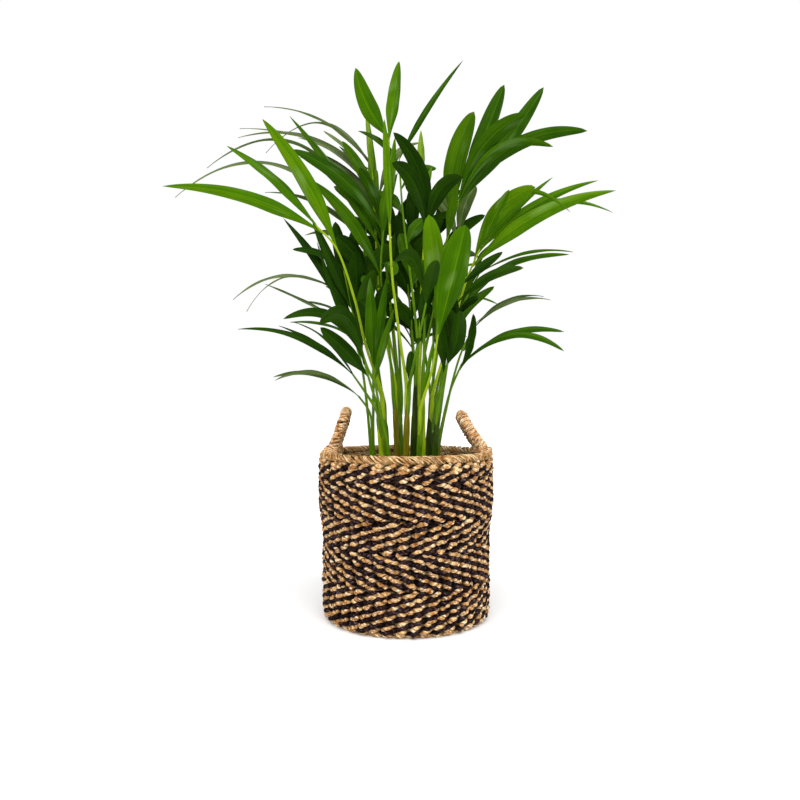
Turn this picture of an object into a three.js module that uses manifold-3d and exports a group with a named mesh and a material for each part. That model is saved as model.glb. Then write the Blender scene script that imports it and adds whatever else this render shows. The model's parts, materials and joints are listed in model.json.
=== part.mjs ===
// Potted areca palm in a woven seagrass basket. Millimetres, +Z up.
// The origin is the middle of the basket's flat underside, and -Y is the front.

import * as THREE from 'three';
import { mergeVertices } from 'three/addons/utils/BufferGeometryUtils.js';
import Module from 'manifold-3d';

const wasm = await Module();
wasm.setup();

// Gap that touching pieces keep
const CLEAR = 0.3;

// Basket: straight below, a little wider in its upper third
const BASKET = {
  footRadius: 97.6,
  topRadius: 102.2,
  flareFrom: 92,
  flareTo: 140,
  wall: 8.5,
  floor: 8,
  footRound: 12,
  height: 194,
  sides: 36,
};

// Braided rim on top of the wall
const RIM = { radius: 96, halfWidth: 6, halfHeight: 4.2, sides: 36, sectionSides: 6 };
const RIM_UNDERSIDE = BASKET.height - 2 * RIM.halfHeight;
const WALL_TOP = RIM_UNDERSIDE - CLEAR;

// Rope handles: arches that stand on the rim and lean inwards
const HANDLE = { ropeRadius: 6.6, footY: 26, sides: 8, steps: 14 };
const HANDLES = [
  { name: 'handle_left', side: -1, footX: 86, topX: 71, topZ: 246 },
  { name: 'handle_right', side: 1, footX: 90, topX: 66, topZ: 241 },
];
// The arch of a handle, as shares of its rise, its lean inwards and its half width
const HANDLE_ARCH = [
  [0, 0, -1],
  [0.4, 0.45, -1],
  [0.82, 0.86, -0.72],
  [1, 1, 0],
  [0.82, 0.86, 0.72],
  [0.4, 0.45, 1],
  [0, 0, 1],
];

// Nursery pot that stands in the basket, filled with soil
const POT = { footRadius: 70, topRadius: 83, lipRadius: 86.5, lip: 7, wall: 1.8, height: 150, sides: 28 };
const POT_FOOT = BASKET.floor + CLEAR;
const SOIL = { below: 12, sides: 28 };
const SOIL_TOP = POT_FOOT + POT.height - SOIL.below;
const STEM_FOOT = SOIL_TOP + CLEAR;

// The place in front of the plant from which its outline was measured. A measured
// point is an x and a z in the plane y = 0 and a depth behind that plane.
const EYE = new THREE.Vector3(-7, -840, 254);

// Canes: the foot on the soil (x, y), the fork where the frond stalks part (x, z, depth)
// and the radius at both ends
const CANES = {
  a: { foot: [-38, -2], fork: [-40, 188, -3], radius: [2.8, 2.6] },
  b: { foot: [-26, -21], fork: [-32, 228, -32], radius: [3.6, 3.1] },
  c: { foot: [-20, -4], fork: [-28, 250, -10], radius: [4.3, 3.5] },
  d: { foot: [-15, -28], fork: [-22, 196, -36], radius: [3.8, 3.4] },
  e: { foot: [-9, 12], fork: [-14, 262, 18], radius: [3.6, 3.1] },
  f: { foot: [-1, -18], fork: [2, 258, -26], radius: [4.0, 3.3] },
  g: { foot: [8, 3], fork: [12, 282, 4], radius: [3.8, 3.2] },
  h: { foot: [13, -27], fork: [18, 232, -42], radius: [3.6, 3.0] },
  i: { foot: [18, -10], fork: [20, 262, -18], radius: [4.5, 3.6] },
  j: { foot: [24, 14], fork: [30, 250, 20], radius: [3.8, 3.1] },
  k: { foot: [30, -14], fork: [38, 244, -20], radius: [4.2, 3.3] },
  l: { foot: [35, 3], fork: [37, 188, 3], radius: [2.8, 2.6] },
  m: { foot: [-22, 24], fork: [-26, 240, 38], radius: [3.8, 3.4] },
  n: { foot: [-6, 34], fork: [-8, 256, 52], radius: [3.8, 3.4] },
  o: { foot: [11, 27], fork: [13, 248, 42], radius: [3.8, 3.4] },
  p: { foot: [26, 31], fork: [31, 236, 48], radius: [3.6, 3.1] },
};
const CANE = { sides: 7, steps: 4 };

// Stalks: radius where a stalk leaves its cane and at its end
const STALK = { foot: 1.4, end: 0.8, sides: 4, steps: 8, lead: 10, apart: 0.45 };

// Leaflets: width along the blade as shares of its full width, and thickness
const BLADE = {
  stations: [0, 0.3, 0.62, 0.9, 1],
  rootShare: 0.14,
  widest: 0.5,
  crown: 0.48,
  hang: 0.4,
  roll: 22,
  thick: 1 / 85,
  leastThick: 1.0,
};

// Edges shorter than this, left where leaflets and stalk are joined, are closed up
const SLIVER = 0.05;

// Places a leaflet may take when it would touch another frond: steps of depth of its tip
const DEPTH_STEPS = [0, -14, 14, -28, 28, -42, 42, -60, 60, -80, 80];

// Fronds. stalk: measured points from the fork to the end of the midrib.
// tone: the colour of its leaflets. tilt: 0 for blades that face up, 90 for the front.
// blades: share along the stalk, tip (x, z, depth), full width, bow of the arch
const FRONDS = [
  {
    name: 'frond_left_long', cane: 'c', tone: 'bright', tilt: 65,
    stalk: [[-48, 319, -36], [-61, 373, -46], [-84, 436, -60], [-108, 462, -70]],
    blades: [
      [0.94, -290, 508, -115, 15, 0.085],
      [0.98, -213, 556, -80, 15, 0.065],
      [0.84, -171, 588, -90, 18, 0.05],
    ],
  },
  {
    name: 'frond_left_middle', cane: 'e', tone: 'mid', tilt: 50,
    stalk: [[-24, 350, 26], [-30, 402, 20], [-27, 456, 12]],
    blades: [
      [0.72, -112, 515, -16, 16, 0.08],
      [1.00, -135, 552, -6, 19, 0.10],
      [0.88, -139, 592, 20, 12, 0.03],
      [0.90, -18, 520, 50, 15, 0.10],
      [0.80, -14, 402, -2, 15, 0.22],
      [0.66, -52, 392, 0, 21, 0.10],
    ],
  },
  {
    name: 'frond_left_back_high', cane: 'n', tone: 'grey', tilt: 14,
    stalk: [[-20, 380, 60], [-30, 460, 76], [-34, 526, 88]],
    blades: [
      [1.00, -169, 603, 70, 12, 0.14],
      [0.98, -198, 577, 96, 12, 0.09],
      [0.94, -200, 566, 116, 12, 0.15],
      [0.97, -167, 548, 130, 11, 0.33],
      [0.88, -128, 566, 84, 14, 0.12],
      [0.78, -117, 551, 100, 14, 0.12],
      [0.90, -98, 574, 60, 14, 0.10],
      [0.72, -80, 556, 120, 14, 0.10],
      [0.88, 20, 560, 150, 13, 0.15],
    ],
  },
  {
    name: 'frond_left_back_low', cane: 'a', tone: 'grey', tilt: 14,
    stalk: [[-40, 318, 44], [-50, 410, 60], [-46, 470, 66]],
    blades: [
      [1.00, -237, 530, 50, 12, 0.31],
      [0.94, -275, 495, 60, 12, 0.265],
      [0.90, -168, 501, 90, 11, 0.12],
      [0.98, -126, 543, 110, 11, 0.08],
      [0.78, -120, 450, 110, 13, 0.20],
    ],
  },
  {
    name: 'frond_top', cane: 'f', tone: 'bright', tilt: 85,
    stalk: [[-7, 325, -26], [-17, 411, -18], [-20, 500, -10], [-20, 566, -4]],
    blades: [
      [1.00, -60, 649, 4, 22, -0.07],
      [0.99, -8, 657, 14, 16, 0.01],
      [0.62, -26, 588, -16, 10, 0.00],
      [0.70, -13, 566, -16, 9, 0.00],
    ],
  },
  {
    name: 'frond_thin_top', cane: 'g', tone: 'mid', tilt: 45,
    stalk: [[14, 319, 8], [6, 396, 14], [-4, 480, 20], [-8, 540, 24]],
    blades: [
      [1.00, 68, 658, 36, 8, 0.03],
      [0.96, -57, 574, 30, 8, 0.12],
      [0.86, 36, 530, 70, 14, 0.12],
      [0.74, -36, 500, 50, 16, 0.12],
      [0.60, 24, 470, 40, 16, 0.08],
      [0.42, -8, 452, 44, 18, 0.06],
      [0.40, 22, 420, 34, 17, 0.10],
    ],
  },
  {
    name: 'frond_dark_fan', cane: 'h', tone: 'dark', tilt: 72,
    stalk: [[22, 330, -46], [25, 400, -60], [25, 458, -68]],
    blades: [
      [1.00, -15, 572, -100, 17, 0.17],
      [0.97, -16, 536, -128, 18, 0.22],
      [0.98, 67, 519, -112, 17, 0.24],
    ],
  },
  {
    name: 'frond_right_top', cane: 'i', tone: 'mid', tilt: 78,
    stalk: [[21, 301, -30], [36, 373, -38], [43, 423, -42], [64, 494, -50]],
    blades: [
      [0.87, 81, 597, -70, 25, 0.12],
      [1.00, 117, 629, -20, 20, 0.00],
      [0.99, 143, 594, -96, 19, 0.16],
      [0.98, 164, 626, 10, 19, -0.02],
      [0.96, 216, 574, -60, 15, 0.16],
      [0.94, 175, 555, -100, 10, 0.27],
      [0.78, 60, 512, -66, 12, 0.02],
    ],
  },
  {
    name: 'frond_grey_back', cane: 'j', tone: 'grey', tilt: 50,
    stalk: [[44, 350, 44], [54, 400, 54], [63, 442, 62]],
    blades: [
      [1.00, 84, 508, 100, 18, 0.12],
      [0.96, 4, 500, 120, 18, 0.20],
      [0.80, 90, 420, 130, 16, 0.20],
      [0.66, 30, 440, 90, 17, 0.10],
      [0.54, 60, 392, 84, 16, 0.15],
    ],
  },
  {
    name: 'frond_right_middle', cane: 'j', tone: 'bright', tilt: 62,
    stalk: [[54, 335, 22], [72, 396, 16], [88, 434, 10]],
    blades: [
      [0.94, 196, 477, -46, 8, 0.40],
      [0.92, 154, 507, -28, 19, 0.17],
      [0.98, 123, 504, -16, 11, 0.02],
      [1.00, 175, 519, 40, 9, 0.03],
      [0.98, 229, 515, 60, 12, 0.07],
      [0.88, 250, 503, 20, 19, 0.09],
      [0.96, 246, 477, 80, 10, 0.17],
      [0.80, 58, 446, 60, 16, 0.10],
      [0.62, 46, 400, 44, 16, 0.10],
    ],
  },
  {
    name: 'frond_right_pair', cane: 'l', tone: 'mid', tilt: 30,
    stalk: [[56, 330, 38], [74, 380, 48], [88, 405, 54]],
    blades: [
      [1.00, 199, 430, 64, 6, 0.10],
      [0.94, 194, 427, 30, 11, 0.09],
      [0.90, 110, 440, 120, 10, 0.15],
    ],
  },
  {
    name: 'frond_right_dark', cane: 'k', tone: 'dark', tilt: 50,
    stalk: [[50, 320, -14], [66, 390, -22]],
    blades: [
      [1.00, 115, 430, -6, 11, 0.03],
      [0.86, 140, 411, -46, 12, 0.12],
      [0.66, 86, 374, -64, 14, 0.15],
      [0.90, 52, 436, -60, 12, 0.06],
    ],
  },
  {
    name: 'frond_right_thin', cane: 'l', tone: 'grey', tilt: 24,
    stalk: [[64, 305, 34], [84, 346, 50]],
    blades: [
      [1.00, 172, 373, 80, 7, 0.12],
      [0.94, 164, 377, 110, 7, 0.12],
    ],
  },
  {
    name: 'frond_right_low', cane: 'l', tone: 'mid', tilt: 30,
    stalk: [[52, 262, -4], [67, 298, -14]],
    blades: [
      [1.00, 188, 335, -30, 10, 0.14],
      [0.97, 188, 312, -60, 10, 0.22],
      [0.92, 80, 356, -30, 17, -0.07],
    ],
  },
  {
    name: 'frond_front_bright', cane: 'h', tone: 'bright', tilt: 90,
    stalk: [[31, 290, -60], [38, 332, -76]],
    blades: [
      [1.00, 27, 474, -94, 24, 0.03],
      [0.94, 71, 462, -122, 34, 0.00],
      [0.12, 33, 327, -60, 6, 0.00],
    ],
  },
  {
    name: 'frond_front_dark', cane: 'k', tone: 'dark', tilt: 76,
    stalk: [[46, 286, -40], [50, 300, -48]],
    blades: [
      [1.00, 56, 380, -56, 24, 0.21],
      [0.98, 44, 363, -84, 23, 0.26],
      [0.70, 34, 352, -70, 15, 0.10],
      [0.94, 64, 360, -78, 17, -0.15],
    ],
  },
  {
    name: 'frond_front_folded', cane: 'f', tone: 'dark', tilt: 80,
    stalk: [[12, 310, -66], [24, 370, -96]],
    blades: [
      [1.00, -17, 412, -150, 16, 0.40],
      [0.98, 36, 420, -140, 15, 0.02],
      [0.75, 34, 402, -86, 15, 0.04],
      [0.60, 14, 322, -110, 9, 0.15],
      [0.10, 6, 312, -34, 11, 0.00],
    ],
  },
  {
    name: 'frond_front_left', cane: 'd', tone: 'mid', tilt: 88,
    stalk: [[-36, 270, -48], [-39, 296, -54]],
    blades: [
      [1.00, -43, 399, -74, 15, 0.01],
      [0.94, -22, 402, -64, 12, 0.00],
      [0.80, -14, 362, -100, 9, 0.03],
    ],
  },
  {
    name: 'frond_left_low_dark', cane: 'b', tone: 'dark', tilt: 62,
    stalk: [[-42, 272, -60], [-49, 296, -74]],
    blades: [
      [1.00, -103, 344, -140, 19, 0.34],
      [0.98, -146, 350, -100, 11, 0.28],
      [0.80, -102, 340, -70, 17, 0.02],
    ],
  },
  {
    name: 'frond_left_low', cane: 'b', tone: 'dark', tilt: 24,
    stalk: [[-48, 262, -30], [-64, 285, -30]],
    blades: [
      [1.00, -200, 338, -20, 10, 0.12],
      [0.98, -151, 342, -50, 8, 0.07],
      [0.92, -136, 347, 10, 8, 0.11],
    ],
  },
  {
    name: 'frond_left_lowest', cane: 'a', tone: 'grey', tilt: 26,
    stalk: [[-43, 238, -10], [-57, 259, -14]],
    blades: [
      [1.00, -158, 281, -30, 7, 0.14],
      [0.98, -156, 277, -56, 6, 0.18],
    ],
  },
  {
    name: 'frond_left_arc', cane: 'a', tone: 'grey', tilt: 18,
    stalk: [[-52, 290, 12], [-66, 345, 30], [-72, 380, 42]],
    blades: [
      [1.00, -206, 373, 60, 7, 0.19],
      [0.98, -190, 359, 90, 6, 0.26],
      [0.78, -168, 392, 100, 5, 0.02],
    ],
  },
  {
    name: 'frond_left_dark', cane: 'c', tone: 'dark', tilt: 45,
    stalk: [[-46, 292, 2], [-58, 335, 12], [-74, 408, 22]],
    blades: [
      [1.00, -135, 433, 30, 10, 0.12],
      [0.60, -146, 470, 50, 13, 0.03],
      [0.70, -112, 470, 30, 14, 0.00],
      [0.78, -84, 466, 44, 18, 0.00],
      [0.34, -106, 442, -14, 8, -0.03],
      [0.90, -42, 480, 60, 15, 0.10],
      [0.76, -22, 430, 56, 15, 0.16],
      [0.80, -38, 344, -20, 20, 0.13],
      [0.56, -60, 430, -8, 20, 0.10],
      [0.40, -37, 408, 4, 20, 0.10],
    ],
  },
  {
    name: 'frond_middle_dark', cane: 'm', tone: 'dark', tilt: 60,
    stalk: [[-34, 300, 36], [-42, 360, 30], [-46, 400, 26]],
    blades: [
      [1.00, -84, 448, 10, 23, 0.08],
      [0.90, -18, 438, 16, 22, 0.10],
      [0.82, -66, 372, -10, 21, 0.14],
      [0.70, -12, 388, 14, 20, 0.12],
      [0.55, -50, 334, 10, 18, 0.15],
      [0.50, -14, 348, 4, 17, 0.10],
    ],
  },
  {
    name: 'frond_middle_right', cane: 'o', tone: 'dark', tilt: 60,
    stalk: [[10, 300, 44], [6, 350, 46], [2, 392, 48]],
    blades: [
      [1.00, -12, 474, 62, 21, 0.06],
      [0.95, 28, 450, 54, 20, 0.08],
      [0.85, -22, 424, 52, 20, 0.10],
      [0.70, 40, 400, 42, 19, 0.12],
      [0.60, -14, 368, 40, 17, 0.12],
      [0.50, 30, 354, 38, 17, 0.12],
    ],
  },
  {
    name: 'frond_upper_left', cane: 'n', tone: 'mid', tilt: 55,
    stalk: [[-16, 350, 50], [-26, 430, 46], [-30, 470, 42]],
    blades: [
      [1.00, -76, 562, 36, 14, 0.05],
      [0.95, -56, 530, 30, 14, 0.08],
      [0.86, -86, 508, 34, 15, 0.12],
      [0.76, -10, 524, 58, 13, 0.08],
      [0.70, -64, 472, 24, 15, 0.12],
      [0.58, -8, 456, 54, 14, 0.10],
    ],
  },
  {
    name: 'frond_middle_back', cane: 'p', tone: 'dark', tilt: 60,
    stalk: [[24, 300, 62], [14, 370, 76], [8, 440, 86]],
    blades: [
      [1.00, 12, 512, 92, 20, 0.04],
      [0.96, -52, 480, 80, 20, 0.06],
      [0.94, 58, 478, 92, 20, 0.04],
      [0.86, -58, 444, 72, 22, 0.08],
      [0.74, -54, 392, 66, 22, 0.12],
      [0.66, 12, 430, 96, 18, 0.02],
      [0.42, -34, 366, 62, 20, 0.12],
      [0.40, 44, 372, 70, 18, 0.10],
    ],
  },
  {
    name: 'spear_left', cane: 'e', tone: 'spear', tilt: 80,
    stalk: [[-30, 360, 44], [-36, 450, 60], [-40, 524, 64]],
    blades: [
      [0.97, -48, 601, 66, 8, 0.00],
      [0.80, -44, 585, 74, 13, 0.00],
    ],
  },
  {
    name: 'spear_right', cane: 'o', tone: 'spear', tilt: 80,
    stalk: [[18, 380, 34], [22, 470, 50], [18, 535, 56]],
    blades: [
      [0.96, 18, 575, 60, 11, 0.00],
      [0.86, 31, 532, 66, 8, 0.00],
    ],
  },
];

// Fronds that lean to the back, dealt out by rule. height is that of the midrib's end.
// Pairs are [first, last] values.
const BACK = {
  count: 7,
  canes: ['p', 'p', 'o', 'o', 'n', 'n', 'm'],
  tones: ['mid', 'dark', 'bright'],
  azimuth: [52, 122],
  reach: [108, 88, 116],
  height: [352, 456, 410],
  kneeRise: 0.1,
  facing: 0.5,
  pairs: 3,
  along: [0.7, 0.985],
  stagger: 0.015,
  bladeLength: [112, 94],
  width: 15,
  bow: 0.12,
  swing: [56, 18],
  fall: 0.1,
};

const COLOURS = {
  basket: 0xb08a54,
  rope: 0xc19a62,
  pot: 0x4a3a30,
  soil: 0x3b2b20,
  cane: 0x7fa83a,
};
const LEAF_TONES = {
  bright: 0x5d9a1f,
  mid: 0x2f7a1c,
  dark: 0x1d4a14,
  grey: 0x6a7f66,
  spear: 0x9dba4a,
};

const UP = new THREE.Vector3(0, 0, 1);
const FRONT = new THREE.Vector3(0, -1, 0);

const palm = new THREE.Group();

function addPart(name, geometry, colour, roughness) {
  const material = new THREE.MeshStandardMaterial({ color: colour, roughness, metalness: 0 });
  const mesh = new THREE.Mesh(geometry, material);
  mesh.name = name;
  palm.add(mesh);
  return mesh;
}

// A value between the two of a pair
function mix([first, last], share) {
  return THREE.MathUtils.lerp(first, last, share);
}

function alternate(list, index) {
  return list[index % list.length];
}

// The real place of a measured point: on the line of sight through it, at its depth
function seenAt(x, z, depth) {
  const inPlane = new THREE.Vector3(x, 0, z);
  const share = (depth - EYE.y) / -EYE.y;
  return EYE.clone().lerp(inPlane, share);
}

// A closed geometry as a solid for joins and clearances
function toSolid(geometry) {
  const bare = geometry.clone();
  bare.deleteAttribute('normal');
  bare.deleteAttribute('uv');
  const merged = mergeVertices(bare, 1e-4);
  const mesh = new wasm.Mesh({
    numProp: 3,
    vertProperties: Float32Array.from(merged.attributes.position.array),
    triVerts: Uint32Array.from(merged.index.array),
  });
  return new wasm.Manifold(mesh);
}

function toGeometry(solid) {
  const { vertProperties, triVerts } = solid.getMesh();
  const geometry = new THREE.BufferGeometry();
  geometry.setAttribute('position', new THREE.BufferAttribute(Float32Array.from(vertProperties), 3));
  geometry.setIndex(Array.from(triVerts));
  geometry.computeVertexNormals();
  return geometry;
}

// A profile of [radius, height] pairs turned about Z
function turned(profile, sides) {
  const points = profile.map(([radius, height]) => new THREE.Vector2(radius, height));
  return new THREE.LatheGeometry(points, sides).rotateX(Math.PI / 2);
}

function basketRadius(height) {
  const share = THREE.MathUtils.smoothstep(height, BASKET.flareFrom, BASKET.flareTo);
  return THREE.MathUtils.lerp(BASKET.footRadius, BASKET.topRadius, share);
}

function buildBasket() {
  const outer = [];
  for (const angle of [0, 30, 60]) {
    const turn = THREE.MathUtils.degToRad(angle);
    const radius = BASKET.footRadius - BASKET.footRound * (1 - Math.sin(turn));
    outer.push([radius, BASKET.footRound * (1 - Math.cos(turn))]);
  }
  const flareMiddle = (BASKET.flareFrom + BASKET.flareTo) / 2;
  const heights = [BASKET.footRound, BASKET.flareFrom, flareMiddle, BASKET.flareTo, WALL_TOP];
  for (const height of heights) outer.push([basketRadius(height), height]);
  const innerTop = BASKET.topRadius - BASKET.wall;
  const innerFoot = BASKET.footRadius - BASKET.wall;
  const inner = [
    [innerTop, WALL_TOP],
    [innerTop, BASKET.flareTo],
    [innerFoot, BASKET.flareFrom],
    [innerFoot, BASKET.floor],
  ];
  const profile = [[0, 0], ...outer, ...inner, [0, BASKET.floor]];
  addPart('basket_body', turned(profile, BASKET.sides), COLOURS.basket, 0.9);
}

// The rim's section is a polygon that lies flat on the wall and carries the handles
function buildRim() {
  const middle = RIM_UNDERSIDE + RIM.halfHeight;
  const toCorner = 1 / Math.cos(Math.PI / RIM.sectionSides);
  const profile = [];
  for (let i = 0; i < RIM.sectionSides; i += 1) {
    const turn = (i / RIM.sectionSides) * 2 * Math.PI;
    const radius = RIM.radius + RIM.halfWidth * Math.cos(turn);
    profile.push([radius, middle + RIM.halfHeight * toCorner * Math.sin(turn)]);
  }
  profile.push([...profile[0]]);
  addPart('basket_rim', turned(profile, RIM.sides), COLOURS.rope, 0.9);
}

function buildHandle({ name, side, footX, topX, topZ }) {
  const foot = BASKET.height + CLEAR;
  const top = topZ - HANDLE.ropeRadius;
  const pointAt = ([rise, lean, spread]) => new THREE.Vector3(
    side * THREE.MathUtils.lerp(footX, topX, lean),
    spread * HANDLE.footY,
    THREE.MathUtils.lerp(foot, top, rise),
  );
  const path = new THREE.CatmullRomCurve3(HANDLE_ARCH.map(pointAt));
  const frames = path.computeFrenetFrames(HANDLE.steps, false);
  for (const end of [0, HANDLE.steps]) levelFrame(frames, end);
  const rod = new THREE.CylinderGeometry(1, 1, 1, HANDLE.sides, HANDLE.steps);
  const radius = () => HANDLE.ropeRadius;
  addPart(name, bendRod(rod, HANDLE.steps, path, frames, radius), COLOURS.rope, 0.9);
}

// Lays the section at one end of a rod flat, parallel to the ground
function levelFrame(frames, index) {
  const normal = frames.normals[index];
  normal.z = 0;
  normal.normalize();
  const down = frames.tangents[index].z < 0;
  frames.binormals[index].crossVectors(down ? UP.clone().negate() : UP, normal);
}

// Bends a straight cylinder of radius 1 and height 1 along a path
function bendRod(rod, steps, path, frames, radiusAt) {
  const position = rod.attributes.position;
  const point = new THREE.Vector3();
  for (let i = 0; i < position.count; i += 1) {
    const share = position.getY(i) + 0.5;
    const step = Math.round(share * steps);
    const radius = radiusAt(share);
    path.getPointAt(share, point);
    point.addScaledVector(frames.normals[step], position.getX(i) * radius);
    point.addScaledVector(frames.binormals[step], -position.getZ(i) * radius);
    position.setXYZ(i, point.x, point.y, point.z);
  }
  return rod;
}

function buildPot() {
  const foot = POT_FOOT;
  const top = POT_FOOT + POT.height;
  const lipFoot = top - POT.lip;
  const floorTop = foot + POT.wall;
  const profile = [
    [0, foot],
    [POT.footRadius, foot],
    [POT.topRadius, lipFoot],
    [POT.lipRadius, lipFoot],
    [POT.lipRadius, top],
    [POT.topRadius - POT.wall, top],
    [POT.footRadius - POT.wall, floorTop],
    [0, floorTop],
  ];
  addPart('nursery_pot', turned(profile, POT.sides), COLOURS.pot, 0.6);
}

function buildSoil() {
  const foot = POT_FOOT + POT.wall + CLEAR;
  const slope = (POT.topRadius - POT.footRadius) / (POT.height - POT.wall);
  const inside = (height) => {
    const fromFloor = height - POT_FOOT - POT.wall;
    return POT.footRadius - POT.wall + slope * fromFloor - 2 * CLEAR;
  };
  const profile = [[0, foot], [inside(foot), foot], [inside(SOIL_TOP), SOIL_TOP], [0, SOIL_TOP]];
  addPart('soil', turned(profile, SOIL.sides), COLOURS.soil, 1);
}

// A cane: its path, tapering from a flat cut on the soil to a flat fork
function canePath({ foot, fork }) {
  const start = new THREE.Vector3(foot[0], foot[1], STEM_FOOT);
  const end = seenAt(...fork);
  const middle = start.clone().lerp(end, 0.5);
  middle.x = THREE.MathUtils.lerp(start.x, end.x, 0.4);
  middle.y = THREE.MathUtils.lerp(start.y, end.y, 0.4);
  return new THREE.QuadraticBezierCurve3(start, middle, end);
}

function buildCane(name, cane) {
  const path = canePath(cane);
  const frames = path.computeFrenetFrames(CANE.steps, false);
  levelFrame(frames, 0);
  const radius = (share) => THREE.MathUtils.lerp(cane.radius[0], cane.radius[1], share);
  const rod = new THREE.CylinderGeometry(1, 1, 1, CANE.sides, CANE.steps);
  const mesh = addPart(name, bendRod(rod, CANE.steps, path, frames, radius), COLOURS.cane, 0.5);
  return { path, solid: toSolid(mesh.geometry), topRadius: cane.radius[1] };
}

// The path of a stalk, from its seat on its cane's flat fork. turn is the seat's place
// round the fork, and seats the number of stalks there.
function stalkPath(cane, turn, seats, points) {
  const out = cane.path.getTangentAt(1);
  const across = new THREE.Vector3().crossVectors(out, FRONT).normalize();
  const ahead = new THREE.Vector3().crossVectors(across, out).normalize();
  const spacing = 2 * STALK.foot + STALK.apart;
  const ring = seats > 1 ? spacing / (2 * Math.sin(Math.PI / seats)) : 0;
  const foot = cane.path.getPointAt(1).addScaledVector(out, CLEAR);
  foot.addScaledVector(across, ring * Math.cos(turn));
  foot.addScaledVector(ahead, -ring * Math.sin(turn));
  const lead = foot.clone().addScaledVector(out, STALK.lead);
  return new THREE.CatmullRomCurve3([foot, lead, ...points], false, 'centripetal');
}

function stalkSolid(path) {
  const frames = path.computeFrenetFrames(STALK.steps, false);
  const radius = (share) => THREE.MathUtils.lerp(STALK.foot, STALK.end, share);
  const rod = new THREE.CylinderGeometry(1, 1, 1, STALK.sides, STALK.steps);
  return toSolid(bendRod(rod, STALK.steps, path, frames, radius));
}

// Share of the full width of a blade at a share of its length
function bladeWidth(share) {
  if (share < BLADE.widest) {
    return THREE.MathUtils.lerp(BLADE.rootShare, 1, THREE.MathUtils.smoothstep(share, 0, BLADE.widest));
  }
  const part = (share - BLADE.widest) / (1 - BLADE.widest);
  return Math.sqrt(1 - part * part * part);
}

// The arched line of a blade. bow is the rise of its middle, square to the straight
// line from root to tip, as a share of that line. The higher the arch, the nearer its
// top is to the tip.
function bladeLine(root, tip, bow) {
  const chord = tip.clone().sub(root);
  const length = chord.length();
  chord.normalize();
  const square = UP.clone().addScaledVector(chord, -UP.dot(chord)).normalize();
  const along = BLADE.crown + BLADE.hang * Math.abs(bow);
  const crown = root.clone().lerp(tip, along).addScaledVector(square, 2 * bow * length);
  return new THREE.QuadraticBezierCurve3(root, crown, tip);
}

// The directions across a blade and out of its upper face, along its arched line. They
// keep their angle to the plane of the arch, so that the blade bends without a twist.
function bladeFrames(root, tip, face) {
  const chord = tip.clone().sub(root).normalize();
  const square = UP.clone().addScaledVector(chord, -UP.dot(chord)).normalize();
  const pole = new THREE.Vector3().crossVectors(chord, square);
  const level = new THREE.Vector3().crossVectors(face, chord).normalize();
  const lean = Math.atan2(level.dot(square), level.dot(pole));
  return (tangent) => {
    const outward = new THREE.Vector3().crossVectors(pole, tangent).normalize();
    const side = pole.clone().multiplyScalar(Math.cos(lean)).addScaledVector(outward, Math.sin(lean));
    const upper = new THREE.Vector3().crossVectors(tangent, side).normalize();
    return { side, upper };
  };
}

// A leaflet: a blade on its arched line, with a keel underneath
function bladeSolid({ root, tip, width, bow, face }) {
  const line = bladeLine(root, tip, bow);
  const framesAt = bladeFrames(root, tip, face);
  const thick = Math.max(BLADE.leastThick, root.distanceTo(tip) * BLADE.thick);
  const steps = BLADE.stations.length - 1;
  const blade = new THREE.ConeGeometry(1, 1, 3, steps);
  const position = blade.attributes.position;
  const point = new THREE.Vector3();
  const edge = Math.sin((2 * Math.PI) / 3);
  for (let i = 0; i < position.count; i += 1) {
    const part = position.getY(i) + 0.5;
    const scale = part < 1 ? 1 / (1 - part) : 0;
    const share = BLADE.stations[Math.round(part * steps)];
    line.getPoint(share, point);
    const { side, upper } = framesAt(line.getTangent(share));
    const half = (width / 2) * bladeWidth(share);
    point.addScaledVector(side, (position.getX(i) * scale * half) / edge);
    point.addScaledVector(upper, -position.getZ(i) * scale * thick * 0.67);
    position.setXYZ(i, point.x, point.y, point.z);
  }
  return toSolid(blade);
}

// What is built so far, for clearances: solid, box and the frond that it belongs to
const placed = [];

function place(solid, owner) {
  placed.push({ solid, box: solid.boundingBox(), owner });
}

function boxesMeet(a, b) {
  for (let axis = 0; axis < 3; axis += 1) {
    if (a.min[axis] > b.max[axis] + CLEAR || b.min[axis] > a.max[axis] + CLEAR) return false;
  }
  return true;
}

function isClear(solid, owner) {
  const box = solid.boundingBox();
  for (const other of placed) {
    if (other.owner === owner || !boxesMeet(box, other.box)) continue;
    if (solid.minGap(other.solid, CLEAR) < CLEAR) return false;
  }
  return true;
}

// The leaflets of both sides of a midrib are rolled towards it, so that they form a trough
function rolled(face, ahead, root, tip) {
  const heading = tip.clone().sub(root).normalize();
  const across = new THREE.Vector3().crossVectors(ahead, face);
  const side = Math.sign(across.dot(heading)) || 1;
  return face.clone().applyAxisAngle(heading, side * THREE.MathUtils.degToRad(BLADE.roll));
}

// A measured frond: the route of its stalk and how its leaflets grow from the path
function measuredFrond(row) {
  const tilt = THREE.MathUtils.degToRad(row.tilt);
  const face = UP.clone().multiplyScalar(Math.cos(tilt)).addScaledVector(FRONT, Math.sin(tilt));
  const leaflets = (path) => row.blades.map(([along, x, z, depth, width, bow]) => {
    const root = path.getPointAt(along);
    const tipAt = (step) => seenAt(x, z, depth + step);
    return { root, tipAt, width, bow, face: rolled(face, path.getTangentAt(along), root, tipAt(0)) };
  });
  const route = row.stalk.map((point) => seenAt(...point));
  return { name: row.name, cane: row.cane, tone: row.tone, route, leaflets };
}

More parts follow.
